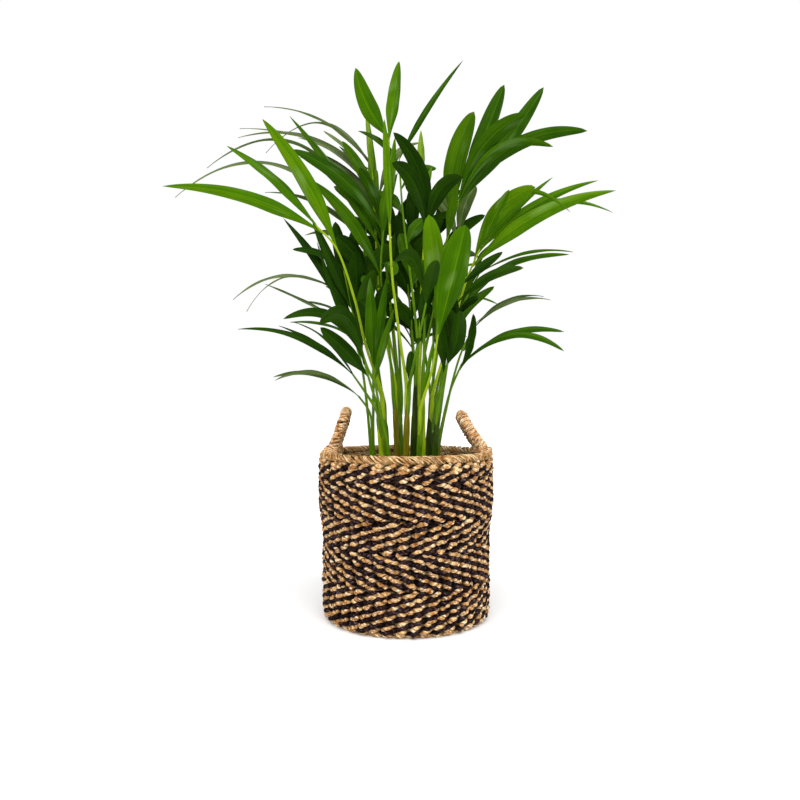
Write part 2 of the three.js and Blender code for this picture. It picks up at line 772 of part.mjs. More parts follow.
// A frond that leans to the back: pairs of leaflets swung out from its midrib
function backFrond(index, canes) {
  const letter = BACK.canes[index];
  const fork = canes[letter].path.getPointAt(1);
  const azimuth = THREE.MathUtils.degToRad(mix(BACK.azimuth, index / (BACK.count - 1)));
  const outward = new THREE.Vector3(Math.cos(azimuth), Math.sin(azimuth), 0);
  const end = outward.clone().multiplyScalar(alternate(BACK.reach, index));
  end.z = alternate(BACK.height, index);
  const knee = fork.clone().lerp(end, 0.5);
  knee.z += BACK.kneeRise * fork.distanceTo(end);
  const face = UP.clone().addScaledVector(outward, BACK.facing).normalize();
  const leaflets = (path) => {
    const list = [];
    for (let pair = 0; pair < BACK.pairs; pair += 1) {
      const part = pair / (BACK.pairs - 1);
      const swing = THREE.MathUtils.degToRad(mix(BACK.swing, part));
      const length = mix(BACK.bladeLength, part);
      for (const side of [-1, 1]) {
        const along = mix(BACK.along, part) + side * BACK.stagger;
        const root = path.getPointAt(along);
        const ahead = path.getTangentAt(along);
        const across = new THREE.Vector3().crossVectors(ahead, face).normalize();
        const heading = ahead.clone().multiplyScalar(Math.cos(swing));
        heading.addScaledVector(across, side * Math.sin(swing));
        const tip = root.clone().addScaledVector(heading, length);
        tip.z -= BACK.fall * length;
        const tipAt = (step) => tip.clone().addScaledVector(outward, step);
        list.push({ root, tipAt, width: BACK.width, bow: BACK.bow, face: rolled(face, ahead, root, tip) });
      }
    }
    return list;
  };
  const tone = alternate(BACK.tones, index);
  return { name: `frond_back_${index + 1}`, cane: letter, tone, route: [knee, end], leaflets };
}

// The largest piece of a solid, without loose scraps and sealed hollows
function mainPiece(solid) {
  return solid.decompose().reduce((best, piece) => (piece.volume() > best.volume() ? piece : best));
}

function neighboursOf(triangles) {
  const neighbours = new Map();
  for (const triangle of triangles) {
    for (const corner of triangle) {
      if (!neighbours.has(corner)) neighbours.set(corner, new Set());
      triangle.forEach((other) => neighbours.get(corner).add(other));
    }
  }
  return neighbours;
}

// An edge that is shorter than a sliver and can be closed up without pinching the surface
function shortEdge(triangles, pointAt) {
  const neighbours = neighboursOf(triangles);
  for (const triangle of triangles) {
    for (let i = 0; i < 3; i += 1) {
      const from = triangle[i];
      const to = triangle[(i + 1) % 3];
      if (pointAt(from).distanceTo(pointAt(to)) > SLIVER) continue;
      const shared = [...neighbours.get(from)].filter((corner) => neighbours.get(to).has(corner));
      // Both ends count each other as well as the two corners opposite the edge
      if (shared.length === 4) return [from, to];
    }
  }
  return null;
}

// Closes up the short edges that joining leaves
function smoothed(solid) {
  const { vertProperties, triVerts } = solid.getMesh();
  const pointAt = (corner) => new THREE.Vector3().fromArray(vertProperties, corner * 3);
  let triangles = [];
  for (let i = 0; i < triVerts.length; i += 3) triangles.push([...triVerts.slice(i, i + 3)]);
  for (let edge = shortEdge(triangles, pointAt); edge; edge = shortEdge(triangles, pointAt)) {
    const [kept, dropped] = edge;
    triangles = triangles.map((triangle) => triangle.map((corner) => (corner === dropped ? kept : corner)));
    triangles = triangles.filter((triangle) => new Set(triangle).size === 3);
  }
  const geometry = new THREE.BufferGeometry();
  geometry.setAttribute('position', new THREE.BufferAttribute(Float32Array.from(vertProperties), 3));
  geometry.setIndex(triangles.flat());
  return toSolid(geometry);
}

// Joins a stalk and the leaflets that find a clear place
function joinFrond(frond) {
  const pieces = [frond.stalk];
  for (const leaflet of frond.leaflets(frond.path)) {
    for (const step of DEPTH_STEPS) {
      const solid = bladeSolid({ ...leaflet, tip: leaflet.tipAt(step) });
      if (!isClear(solid, frond.name)) continue;
      place(solid, frond.name);
      pieces.push(solid);
      break;
    }
  }
  return mainPiece(smoothed(wasm.Manifold.union(pieces)));
}

// Gives each frond of a cane its seat on the fork, and from it its path. The seats share
// the fork evenly, in the order in which the fronds lean away, and turn to follow them.
function seatFronds(fronds, cane) {
  const fork = cane.path.getPointAt(1);
  const lean = (frond) => Math.atan2(frond.route[0].y - fork.y, frond.route[0].x - fork.x);
  const inOrder = [...fronds].sort((one, other) => lean(one) - lean(other));
  const apart = (2 * Math.PI) / inOrder.length;
  const start = new THREE.Vector2();
  inOrder.forEach((frond, index) => {
    const turn = lean(frond) - index * apart;
    start.add(new THREE.Vector2(Math.cos(turn), Math.sin(turn)));
  });
  inOrder.forEach((frond, index) => {
    frond.path = stalkPath(cane, start.angle() + index * apart, inOrder.length, frond.route);
  });
}

function buildCrown(canes) {
  const fronds = FRONDS.map(measuredFrond);
  for (let index = 0; index < BACK.count; index += 1) fronds.push(backFrond(index, canes));
  for (const [letter, cane] of Object.entries(canes)) {
    seatFronds(fronds.filter((frond) => frond.cane === letter), cane);
  }
  for (const frond of fronds) {
    frond.stalk = stalkSolid(frond.path);
    place(frond.stalk, frond.name);
  }
  for (const frond of fronds) {
    addPart(frond.name, toGeometry(joinFrond(frond)), LEAF_TONES[frond.tone], 0.45);
  }
}

buildBasket();
buildRim();
HANDLES.forEach(buildHandle);
buildPot();
buildSoil();

const canes = {};
for (const [letter, cane] of Object.entries(CANES)) {
  canes[letter] = buildCane(`cane_${letter}`, cane);
  place(canes[letter].solid, `cane_${letter}`);
}
buildCrown(canes);

export default palm;
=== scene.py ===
"""Looks of a potted areca palm in a woven seagrass basket. +Z is up and -Y is the front.

Sizes are in millimetres, as measured on the plant, and become metres when a mesh is made.
"""

import json
import math
from types import SimpleNamespace as Settings

import bpy
import numpy as np
from mathutils import Euler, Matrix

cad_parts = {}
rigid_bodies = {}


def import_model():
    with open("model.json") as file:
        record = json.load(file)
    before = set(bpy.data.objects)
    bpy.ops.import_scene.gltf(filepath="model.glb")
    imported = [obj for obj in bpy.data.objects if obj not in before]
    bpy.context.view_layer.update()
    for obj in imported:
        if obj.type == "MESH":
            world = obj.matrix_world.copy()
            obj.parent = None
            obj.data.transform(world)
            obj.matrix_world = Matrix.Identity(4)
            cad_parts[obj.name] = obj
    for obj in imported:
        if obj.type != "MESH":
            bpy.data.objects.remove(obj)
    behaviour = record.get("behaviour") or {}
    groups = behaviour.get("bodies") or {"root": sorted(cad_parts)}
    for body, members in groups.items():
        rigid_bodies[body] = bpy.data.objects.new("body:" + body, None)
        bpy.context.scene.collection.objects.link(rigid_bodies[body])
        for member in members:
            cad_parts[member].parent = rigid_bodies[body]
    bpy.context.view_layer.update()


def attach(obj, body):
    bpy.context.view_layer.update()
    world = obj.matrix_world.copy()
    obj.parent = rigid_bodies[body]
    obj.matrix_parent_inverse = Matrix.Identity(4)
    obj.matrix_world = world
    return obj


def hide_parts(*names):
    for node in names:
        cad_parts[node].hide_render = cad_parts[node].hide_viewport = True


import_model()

MM = 0.001
# Gap between parts that meet
CLEAR = 0.3
TURN = 2 * math.pi
UP = np.array([0.0, 0.0, 1.0])
FRONT = np.array([0.0, -1.0, 0.0])

# Camera, light and floor
CAMERA = Settings(place=(-0.0071, -0.84, 0.2536), lens=31.752, sensor=36)
SUN = Settings(strength=3.3, angle=80, turn=(34, -4, 8))
SKY = Settings(seen=1.0, light=0.62)
FLOOR = Settings(reach=12000, lines=9, shade=0.94, roughness=0.9)

# Basket: a round wall that flares, with a rounded foot
BASKET = Settings(
    foot_radius=97.6, top_radius=102.2, flare_from=92, flare_to=140, foot_round=12, height=194,
)

# Twined wall: the two strands of a row change places, so that each shows half of the time.
# Each of the waves by which a strand wanders has a size and its beats in a turn.
WEAVE = Settings(
    rows=37, first_row=2.7, row_pitch=5.0, halfway=18, turns=21, row_shift=0.54,
    in_out=1.9, rise=1.9, thick_out=2.1, thick_up=2.5, proud=0.8, lowest=3.65,
    full={"tan": 0.98, "dark": 1.08}, taper=(0.5, 1.1), shows=(-0.3, 0.75),
    ply_pitch=8, ply_depth=0.4, sides=8, steps=560,
    lay_waves=(0.75, (3, 7, 13, 22)), size_waves=(0.3, (11, 23, 41, 67)),
    out_waves=(0.8, (5, 17, 31, 53)), up_waves=(1.0, (2, 5, 9, 31)),
)
# Heights from which the stripes slant, and which way: 1 rises to the right
SLANTS = [(-10, 1), (49, -1), (88, 1), (127, -1), (165, 1)]
PLAIN_ROWS = (0, 36)
# Tan rows on the inside, above the pot
LINING = Settings(rows=8, first=149, radius=94.2, steps=300)
WALL_CORE = Settings(
    inwards=4.4, thick=1, foot=1.0, top=188, floor=3, sides=96, rows=60, stake=0.5, stake_every=4,
    pattern=36,
)

# Underside: a rope laid in a spiral
UNDERSIDE = Settings(
    radius=91, pitch=4.7, rope=2.2, height=2.5, core=3.2, step=3, sides=6,
    ply_pitch=9, ply_depth=0.18, start=0.0004,
)

# Rim: strands laid as a rope. Here and below, pattern keeps the parts of a piece from showing
# the same fibres.
RIM = Settings(
    radius=96.4, middle=189.6, across=4.15, up=3.3, strand=1.55, strands=6, pitch=27,
    ply_pitch=26, ply_depth=0.3, sides=9, steps=640,
    lay_waves=(0.6, (5, 11, 23, 37)), up_waves=(0.3, (3, 7, 12, 19)), size_waves=(0.14, (13, 29, 47, 71)),
    pattern=900,
)

# Handles: rope arches that lean inwards. The waves along a strand have a size and a length.
HANDLE = Settings(
    foot_y=26, rope_radius=6.6, lay=4.3, strand=2.0, strands=4, pitch=13.5,
    ply_pitch=11, ply_depth=0.3, sides=9, steps=520, sink=8, pattern=400,
    lay_wave=(0.5, 7), reach_wave=(0.07, 5),
)
HANDLES = [
    Settings(name="handle_left", side=-1, foot_x=86, top_x=71, top_z=246, full=0.93),
    Settings(name="handle_right", side=1, foot_x=90, top_x=66, top_z=241, full=1.06),
]
# The arch, as shares of its rise, its lean inwards and its half width
HANDLE_ARCH = [
    (0, 0, -1), (0.4, 0.45, -1), (0.82, 0.86, -0.72), (1, 1, 0),
    (0.82, 0.86, 0.72), (0.4, 0.45, 1), (0, 0, 1),
]
LASHING = Settings(
    loops=5, pitch=3.6, radius=8.6, narrows=1.4, rope=1.7, drop=8, sides=6, steps=150, ply_depth=0.25,
)
STRAY = Settings(
    count=150, length=(3, 8), thick=0.35, heights=(8, 184), steps=6, sides=3,
    aside=(-1, 1), up=(-0.7, 0.7), outwards=(0.25, 0.6), bend=0.12, taper=0.85, rooted=1, tilt=0.3,
)

POT = Settings(
    foot=8.3, foot_radius=70, top_radius=83, lip_radius=86.5, lip=7, wall=1.8, height=150, sides=96,
)
SOIL = Settings(
    top=146.3, radius=79.6, rings=60, sides=140, waves=26, lumps=(0.5, 3.2), flat=0.35, raised=0.4,
    over_pot=1.5, foot_share=0.86,
)
BARK = Settings(
    bits=420, reach=0.94, raised=0.8, sides=7, lifts=(-0.92, -0.45, 0.1, 0.6, 0.95),
    length=(1.2, 3.4), width=(0.5, 0.9), height=(0.3, 0.6), rough=(0.75, 1.1),
)

# The place in front of the plant from which its outline was measured
EYE = np.array([-7.0, -840.0, 254.0])

# Canes: foot on the soil (x, y), fork (x, z, depth), radius at both ends and colour
CANE_ROWS = {
    "a": ((-38, -2), (-40, 188, -3), (2.8, 2.6), "dark"),
    "b": ((-26, -21), (-32, 228, -32), (3.6, 3.1), "yellow"),
    "c": ((-20, -4), (-28, 250, -10), (4.3, 3.5), "bright"),
    "d": ((-15, -28), (-22, 196, -36), (3.8, 3.4), "bright"),
    "e": ((-9, 12), (-14, 262, 18), (3.6, 3.1), "brown"),
    "f": ((-1, -18), (2, 258, -26), (4.0, 3.3), "brown"),
    "g": ((8, 3), (12, 282, 4), (3.8, 3.2), "dark"),
    "h": ((13, -27), (18, 232, -42), (3.6, 3.0), "bright"),
    "i": ((18, -10), (20, 262, -18), (4.5, 3.6), "yellow"),
    "j": ((24, 14), (30, 250, 20), (3.8, 3.1), "dark"),
    "k": ((30, -14), (38, 244, -20), (4.2, 3.3), "dark"),
    "l": ((35, 3), (37, 188, 3), (2.8, 2.6), "dark"),
    "m": ((-22, 24), (-26, 240, 38), (3.8, 3.4), "bright"),
    "n": ((-6, 34), (-8, 256, 52), (3.8, 3.4), "bright"),
    "o": ((11, 27), (13, 248, 42), (3.8, 3.4), "dark"),
    "p": ((26, 31), (31, 236, 48), (3.6, 3.1), "dark"),
}
CANES = {
    letter: Settings(foot=foot, fork=fork, radius=radius, tone=tone)
    for letter, (foot, fork, radius, tone) in CANE_ROWS.items()
}
CANE = Settings(
    sides=16, steps=60, ribs=7, rib_depth=0.035, sink=3, middle=0.4, narrow_from=0.72, narrow=0.42,
    sheath=0.45, sheath_ends=(0.35, 0.75), edge_wave=0.05, edge=0.012, swell=0.25, swells=2.2,
    foot=0.7, foot_share=0.08, pattern=40,
)
# Length of one unit of the pattern along a cane or stalk
STEM_UNIT = 30

STALK = Settings(
    foot=1.4, end=0.8, lead=10, apart=0.45, sides=8, steps=44, sheath=40, below=46,
    lead_steps=10, flare=0.66, round=1.3, tip=0.5, ribs=3, rib_depth=0.05, pattern=20,
)
BLADE = Settings(crown=0.48, hang=0.4, roll=22)
# Steps in depth that the tip of a leaflet may have made to stand free, and how near it is found
DEPTH_STEPS = [0, -14, 14, -28, 28, -42, 42, -60, 60, -80, 80]
TIP_FOUND = 1.2

# Leaflets: outline, ridge and thin shell of a blade
LEAF = Settings(
    steps=30, crowding=0.94, across=(-1, -0.86, -0.62, -0.36, -0.12, 0, 0.12, 0.36, 0.62, 0.86, 1),
    root_share=0.13, slender=(0.09, 0.16), widest=(0.36, 0.54), fullness=(1.7, 3.0), point=(0.8, 0.58),
    end=0.08, ridge=(0.75, 0.2), ridge_to=0.5, belly=0.1, midrib=0.35, midrib_width=0.09,
    thick=(0.3, 0.45), ripple=0.35, ripples=(2, 4), twist=12, twist_late=1.5, gloss=0.02, dry=0.3,
    margin=0.01,
)
# Pale patches of painted sheen on part of the leaflets
PAINTED_SHEEN = Settings(share=(0.58, 0.74), most=0.45)

# Fronds: name, cane, tone, tilt (0 for blades that face up), measured stalk points
# (x, z, depth) and leaflets (share along the stalk, tip x, tip z, tip depth, width, bow)
FRONDS = [
    ("frond_left_long", "c", "bright", 65,
     [(-48, 319, -36), (-61, 373, -46), (-84, 436, -60), (-108, 462, -70)], [
        (0.94, -290, 508, -115, 15, 0.085), (0.98, -213, 556, -80, 15, 0.065),
        (0.84, -171, 588, -90, 18, 0.05)]),
    ("frond_left_middle", "e", "mid", 50, [(-24, 350, 26), (-30, 402, 20), (-27, 456, 12)], [
        (0.72, -112, 515, -16, 16, 0.08), (1.00, -135, 552, -6, 19, 0.10),
        (0.88, -139, 592, 20, 12, 0.03), (0.90, -18, 520, 50, 15, 0.10), (0.80, -14, 402, -2, 15, 0.22),
        (0.66, -52, 392, 0, 21, 0.10)]),
    ("frond_left_back_high", "n", "grey", 14, [(-20, 380, 60), (-30, 460, 76), (-34, 526, 88)], [
        (1.00, -169, 603, 70, 12, 0.14), (0.98, -198, 577, 96, 12, 0.09),
        (0.94, -200, 566, 116, 12, 0.15), (0.97, -167, 548, 130, 11, 0.33),
        (0.88, -128, 566, 84, 14, 0.12), (0.78, -117, 551, 100, 14, 0.12),
        (0.90, -98, 574, 60, 14, 0.10), (0.72, -80, 556, 120, 14, 0.10), (0.88, 20, 560, 150, 13, 0.15)]),
    ("frond_left_back_low", "a", "grey", 14, [(-40, 318, 44), (-50, 410, 60), (-46, 470, 66)], [
        (1.00, -237, 530, 50, 12, 0.31), (0.94, -275, 495, 60, 12, 0.265),
        (0.90, -168, 501, 90, 11, 0.12), (0.98, -126, 543, 110, 11, 0.08),
        (0.78, -120, 450, 110, 13, 0.20)]),
    ("frond_top", "f", "bright", 85, [(-7, 325, -26), (-17, 411, -18), (-20, 500, -10), (-20, 566, -4)], [
        (1.00, -60, 649, 4, 22, -0.07), (0.99, -8, 657, 14, 16, 0.01), (0.62, -26, 588, -16, 10, 0.00),
        (0.70, -13, 566, -16, 9, 0.00)]),
    ("frond_thin_top", "g", "mid", 45, [(14, 319, 8), (6, 396, 14), (-4, 480, 20), (-8, 540, 24)], [
        (1.00, 68, 658, 36, 8, 0.03), (0.96, -57, 574, 30, 8, 0.12), (0.86, 36, 530, 70, 14, 0.12),
        (0.74, -36, 500, 50, 16, 0.12), (0.60, 24, 470, 40, 16, 0.08), (0.42, -8, 452, 44, 18, 0.06),
        (0.40, 22, 420, 34, 17, 0.10)]),
    ("frond_dark_fan", "h", "dark", 72, [(22, 330, -46), (25, 400, -60), (25, 458, -68)], [
        (1.00, -15, 572, -100, 17, 0.17), (0.97, -16, 536, -128, 18, 0.22),
        (0.98, 67, 519, -112, 17, 0.24)]),
    ("frond_right_top", "i", "mid", 78, [(21, 301, -30), (36, 373, -38), (43, 423, -42), (64, 494, -50)], [
        (0.87, 81, 597, -70, 25, 0.12), (1.00, 117, 629, -20, 20, 0.00),
        (0.99, 143, 594, -96, 19, 0.16), (0.98, 164, 626, 10, 19, -0.02),
        (0.96, 216, 574, -60, 15, 0.16), (0.94, 175, 555, -100, 10, 0.27),
        (0.78, 60, 512, -66, 12, 0.02)]),
    ("frond_grey_back", "j", "grey", 50, [(44, 350, 44), (54, 400, 54), (63, 442, 62)], [
        (1.00, 84, 508, 100, 18, 0.12), (0.96, 4, 500, 120, 18, 0.20), (0.80, 90, 420, 130, 16, 0.20),
        (0.66, 30, 440, 90, 17, 0.10), (0.54, 60, 392, 84, 16, 0.15)]),
    ("frond_right_middle", "j", "bright", 62, [(54, 335, 22), (72, 396, 16), (88, 434, 10)], [
        (0.94, 196, 477, -46, 8, 0.40), (0.92, 154, 507, -28, 19, 0.17),
        (0.98, 123, 504, -16, 11, 0.02), (1.00, 175, 519, 40, 9, 0.03), (0.98, 229, 515, 60, 12, 0.07),
        (0.88, 250, 503, 20, 19, 0.09), (0.96, 246, 477, 80, 10, 0.17), (0.80, 58, 446, 60, 16, 0.10),
        (0.62, 46, 400, 44, 16, 0.10)]),
    ("frond_right_pair", "l", "mid", 30, [(56, 330, 38), (74, 380, 48), (88, 405, 54)], [
        (1.00, 199, 430, 64, 6, 0.10), (0.94, 194, 427, 30, 11, 0.09), (0.90, 110, 440, 120, 10, 0.15)]),
    ("frond_right_dark", "k", "dark", 50, [(50, 320, -14), (66, 390, -22)], [
        (1.00, 115, 430, -6, 11, 0.03), (0.86, 140, 411, -46, 12, 0.12), (0.66, 86, 374, -64, 14, 0.15),
        (0.90, 52, 436, -60, 12, 0.06)]),
    ("frond_right_thin", "l", "grey", 24, [(64, 305, 34), (84, 346, 50)], [
        (1.00, 172, 373, 80, 7, 0.12), (0.94, 164, 377, 110, 7, 0.12)]),
    ("frond_right_low", "l", "mid", 30, [(52, 262, -4), (67, 298, -14)], [
        (1.00, 188, 335, -30, 10, 0.14), (0.97, 188, 312, -60, 10, 0.22),
        (0.92, 80, 356, -30, 17, -0.07)]),
    ("frond_front_bright", "h", "bright", 90, [(31, 290, -60), (38, 332, -76)], [
        (1.00, 27, 474, -94, 24, 0.03), (0.94, 71, 462, -122, 34, 0.00), (0.12, 33, 327, -60, 6, 0.00)]),
    ("frond_front_dark", "k", "dark", 76, [(46, 286, -40), (50, 300, -48)], [
        (1.00, 56, 380, -56, 24, 0.21), (0.98, 44, 363, -84, 23, 0.26), (0.70, 34, 352, -70, 15, 0.10),
        (0.94, 64, 360, -78, 17, -0.15)]),
    ("frond_front_folded", "f", "dark", 80, [(12, 310, -66), (24, 370, -96)], [
        (1.00, -17, 412, -150, 16, 0.40), (0.98, 36, 420, -140, 15, 0.02),
        (0.75, 34, 402, -86, 15, 0.04), (0.60, 14, 322, -110, 9, 0.15), (0.10, 6, 312, -34, 11, 0.00)]),
    ("frond_front_left", "d", "mid", 88, [(-36, 270, -48), (-39, 296, -54)], [
        (1.00, -43, 399, -74, 15, 0.01), (0.94, -22, 402, -64, 12, 0.00),
        (0.80, -14, 362, -100, 9, 0.03)]),
    ("frond_left_low_dark", "b", "dark", 62, [(-42, 272, -60), (-49, 296, -74)], [
        (1.00, -103, 344, -140, 19, 0.34), (0.98, -146, 350, -100, 11, 0.28),
        (0.80, -102, 340, -70, 17, 0.02)]),
    ("frond_left_low", "b", "dark", 24, [(-48, 262, -30), (-64, 285, -30)], [
        (1.00, -200, 338, -20, 10, 0.12), (0.98, -151, 342, -50, 8, 0.07),
        (0.92, -136, 347, 10, 8, 0.11)]),
    ("frond_left_lowest", "a", "grey", 26, [(-43, 238, -10), (-57, 259, -14)], [
        (1.00, -158, 281, -30, 7, 0.14), (0.98, -156, 277, -56, 6, 0.18)]),
    ("frond_left_arc", "a", "grey", 18, [(-52, 290, 12), (-66, 345, 30), (-72, 380, 42)], [
        (1.00, -206, 373, 60, 7, 0.19), (0.98, -190, 359, 90, 6, 0.26), (0.78, -168, 392, 100, 5, 0.02)]),
    ("frond_left_dark", "c", "dark", 45, [(-46, 292, 2), (-58, 335, 12), (-74, 408, 22)], [
        (1.00, -135, 433, 30, 10, 0.12), (0.60, -146, 470, 50, 13, 0.03),
        (0.70, -112, 470, 30, 14, 0.00), (0.78, -84, 466, 44, 18, 0.00),
        (0.34, -106, 442, -14, 8, -0.03), (0.90, -42, 480, 60, 15, 0.10),
        (0.76, -22, 430, 56, 15, 0.16), (0.80, -38, 344, -20, 20, 0.13), (0.56, -60, 430, -8, 20, 0.10),
        (0.40, -37, 408, 4, 20, 0.10)]),
    ("frond_middle_dark", "m", "dark", 60, [(-34, 300, 36), (-42, 360, 30), (-46, 400, 26)], [
        (1.00, -84, 448, 10, 23, 0.08), (0.90, -18, 438, 16, 22, 0.10), (0.82, -66, 372, -10, 21, 0.14),
        (0.70, -12, 388, 14, 20, 0.12), (0.55, -50, 334, 10, 18, 0.15), (0.50, -14, 348, 4, 17, 0.10)]),
    ("frond_middle_right", "o", "dark", 60, [(10, 300, 44), (6, 350, 46), (2, 392, 48)], [
        (1.00, -12, 474, 62, 21, 0.06), (0.95, 28, 450, 54, 20, 0.08), (0.85, -22, 424, 52, 20, 0.10),
        (0.70, 40, 400, 42, 19, 0.12), (0.60, -14, 368, 40, 17, 0.12), (0.50, 30, 354, 38, 17, 0.12)]),
    ("frond_upper_left", "n", "mid", 55, [(-16, 350, 50), (-26, 430, 46), (-30, 470, 42)], [
        (1.00, -76, 562, 36, 14, 0.05), (0.95, -56, 530, 30, 14, 0.08), (0.86, -86, 508, 34, 15, 0.12),
        (0.76, -10, 524, 58, 13, 0.08), (0.70, -64, 472, 24, 15, 0.12), (0.58, -8, 456, 54, 14, 0.10)]),
    ("frond_middle_back", "p", "dark", 60, [(24, 300, 62), (14, 370, 76), (8, 440, 86)], [
        (1.00, 12, 512, 92, 20, 0.04), (0.96, -52, 480, 80, 20, 0.06), (0.94, 58, 478, 92, 20, 0.04),
        (0.86, -58, 444, 72, 22, 0.08), (0.74, -54, 392, 66, 22, 0.12), (0.66, 12, 430, 96, 18, 0.02),
        (0.42, -34, 366, 62, 20, 0.12), (0.40, 44, 372, 70, 18, 0.10)]),
    ("spear_left", "e", "spear", 80, [(-30, 360, 44), (-36, 450, 60), (-40, 524, 64)], [
        (0.97, -48, 601, 66, 8, 0.00), (0.80, -44, 585, 74, 13, 0.00)]),
    ("spear_right", "o", "spear", 80, [(18, 380, 34), (22, 470, 50), (18, 535, 56)], [
        (0.96, 18, 575, 60, 11, 0.00), (0.86, 31, 532, 66, 8, 0.00)]),
]

# Fronds whose blades all have one outline: 0 for a long point, 1 for a blunt end. In the
# others it follows from how slender each blade is.
OUTLINES = {
    "frond_front_left": 0.1, "frond_left_arc": 0.4, "frond_left_lowest": 0.4, "frond_right_low": 0.75,
    "frond_right_pair": 0.6, "frond_right_dark": 0.7, "frond_left_low_dark": 0.6, "frond_top": 0.45,
    "frond_dark_fan": 0.6, "frond_right_top": 0.8, "spear_left": 0.0, "spear_right": 0.0,
}

# Fronds that lean to the back, dealt out by rule. Pairs are first and last values.
BACK = Settings(
    count=7, canes=("p", "p", "o", "o", "n", "n", "m"), tones=("mid", "dark", "bright"),
    azimuth=(52, 122), reach=(108, 88, 116), height=(352, 456, 410), knee_rise=0.1, facing=0.5,
    pairs=3, along=(0.7, 0.985), stagger=0.015, blade_length=(112, 94), width=15, bow=0.12,
    swing=(56, 18), fall=0.1,
)

# Colours as a screen shows them, and where low, mean and high lie in the range of a pattern
TONE_STOPS = (0.18, 0.5, 0.85)
# Leaf tones are dealt out by frond: bright, mid and dark stand partly for the fronds' own colours and
# partly for painted shade on fronds that lie in the shade of the crown
LEAF_TONES = {
    # In each leaf tone the last colour is that of the painted sheen
    "bright": Settings(low=(36, 72, 1), mean=(60, 102, 1), high=(94, 134, 6), bloom=(120, 148, 78)),
    "mid": Settings(low=(22, 52, 1), mean=(42, 78, 2), high=(72, 110, 6), bloom=(88, 118, 62)),
    "dark": Settings(low=(10, 30, 1), mean=(24, 52, 2), high=(44, 76, 5), bloom=(42, 64, 26)),
    "grey": Settings(low=(34, 54, 16), mean=(62, 82, 32), high=(112, 128, 78), bloom=(132, 142, 118)),
    "spear": Settings(low=(58, 92, 6), mean=(88, 126, 20), high=(140, 168, 50), bloom=(150, 176, 70)),
}
CANE_TONES = {
    "bright": Settings(low=(44, 80, 2), mean=(80, 120, 5), high=(126, 158, 14)),
    "yellow": Settings(low=(84, 116, 4), mean=(138, 166, 14), high=(192, 208, 44)),
    "dark": Settings(low=(22, 36, 3), mean=(44, 64, 7), high=(76, 102, 14)),
    "brown": Settings(low=(74, 58, 5), mean=(108, 102, 9), high=(146, 134, 20)),
}
# Stalks take their colour from their leaflets
STALK_TONES = {"bright": "yellow", "mid": "bright", "dark": "bright", "grey": "bright", "spear": "yellow"}
# In each grass tone, crease is the colour of painted shade and light the colour of painted highlights
GRASS_TONES = {
    "tan": Settings(
        low=(118, 70, 32), mean=(202, 145, 83), high=(255, 224, 170),
        crease=(26, 13, 7), light=(255, 242, 212), shows="woven",
    ),
    "dark": Settings(
        low=(6, 2, 1), mean=(27, 14, 14), high=(64, 44, 45),
        crease=(4, 1, 0), light=(102, 80, 83), shows="woven",
    ),
    "rope": Settings(
        low=(112, 70, 30), mean=(194, 142, 84), high=(252, 218, 162),
        crease=(34, 18, 8), light=(255, 232, 186), shows="outwards",
    ),
    # The handle tone is the rope's grass made paler, as painted light on handles whose sides lie in shade
    "handle": Settings(
        low=(132, 78, 36), mean=(236, 174, 112), high=(255, 236, 192),
        crease=(34, 16, 6), light=(255, 246, 214), shows="outwards",
    ),
    # The lining tone is paler than the tan of the wall, as painted light on the inside of the wall, which
    # lies in shade
    "lining": Settings(
        low=(128, 84, 44), mean=(214, 162, 104), high=(255, 236, 190),
        crease=(34, 18, 8), light=(255, 246, 214), shows="inwards",
    ),
}
SOIL_TONE = Settings(low=(22, 15, 10), mean=(52, 38, 26), high=(110, 84, 58))
BARK_TONE = Settings(low=(40, 26, 16), mean=(88, 60, 38), high=(150, 112, 72))
PLASTIC_TONE = Settings(low=(24, 22, 21), mean=(38, 34, 31), high=(66, 58, 50))
DRY_TIP = (104, 88, 34)
FLECK = (96, 62, 24)
PLAIN_GLOSS = 0.5

# Patterns of the materials. weights are the shares that the patterns have in the tone. Marks
# such as rib, root and groove have where they begin and end, and their strength at both.
LEAF_LOOK = Settings(
    veins=26, patches=38, weights=(0.42, 0.34, 0.3), tip_paler=0.06, half_paler=0.05,
    rib=((0.012, 0.045), (0.5, 0)), root=((0.02, 0.16), (0.45, 0)), spots=(1.6, 2.6, 3.7),
    dry_from=(1.02, 0.95), dry_ragged=0.03, dry_edge=0.02,
    rough=((0.3, 0.7), (0.44, 0.58)), relief=0.0006, relief_strength=0.6, rib_sunk=0.6,
)
CANE_LOOK = Settings(
    streaks=22, patches=2, flecks=14, weights=(0.85, 0.4), darker=0.125,
    fleck=((0.66, 0.74), (0, 0.7)), rough=((0.3, 0.7), (0.4, 0.55)),
    relief=0.0006, relief_strength=0.6, gloss=0.08,
)
GRASS_LOOK = Settings(
    fibres=9.0, lengths=210, patches=34, strips=3.2, weights=(0.62, 0.62, 0.24),
    # The groove mark and the one after it are painted shade: between the plies, and on the side of a
    # strand that the basket hides
    contrast=((0.5, 0.96), (0, 1)), groove=((0.04, 0.42), (0.72, 0)), hidden=((0.4, 0.84), (0.85, 0)),
    rough=((0.3, 0.7), (0.6, 0.85)), relief=0.0014, gloss=0.05,
)
# Painted shade: strands of the wall are darker where they lie deeper than its outermost surface
SUNK_SHADE = Settings(depth=(0.5, 2.7), shade=0.85)
# Lengths of grass along a strand with a painted highlight, paler than the rest, and lengths that are
# browner than the rest
HIGHLIGHT_STRIPS = ((0.57, 0.66), (0, 0.85))
BROWN_STRIPS = ((0.3, 0.42), (0.6, 0))


# Meshes


def unit(vector):
    return vector / np.linalg.norm(vector, axis=-1, keepdims=True)


def smooth(value, start, end):
    share = np.clip((value - start) / (end - start), 0, 1)
    return share * share * (3 - 2 * share)


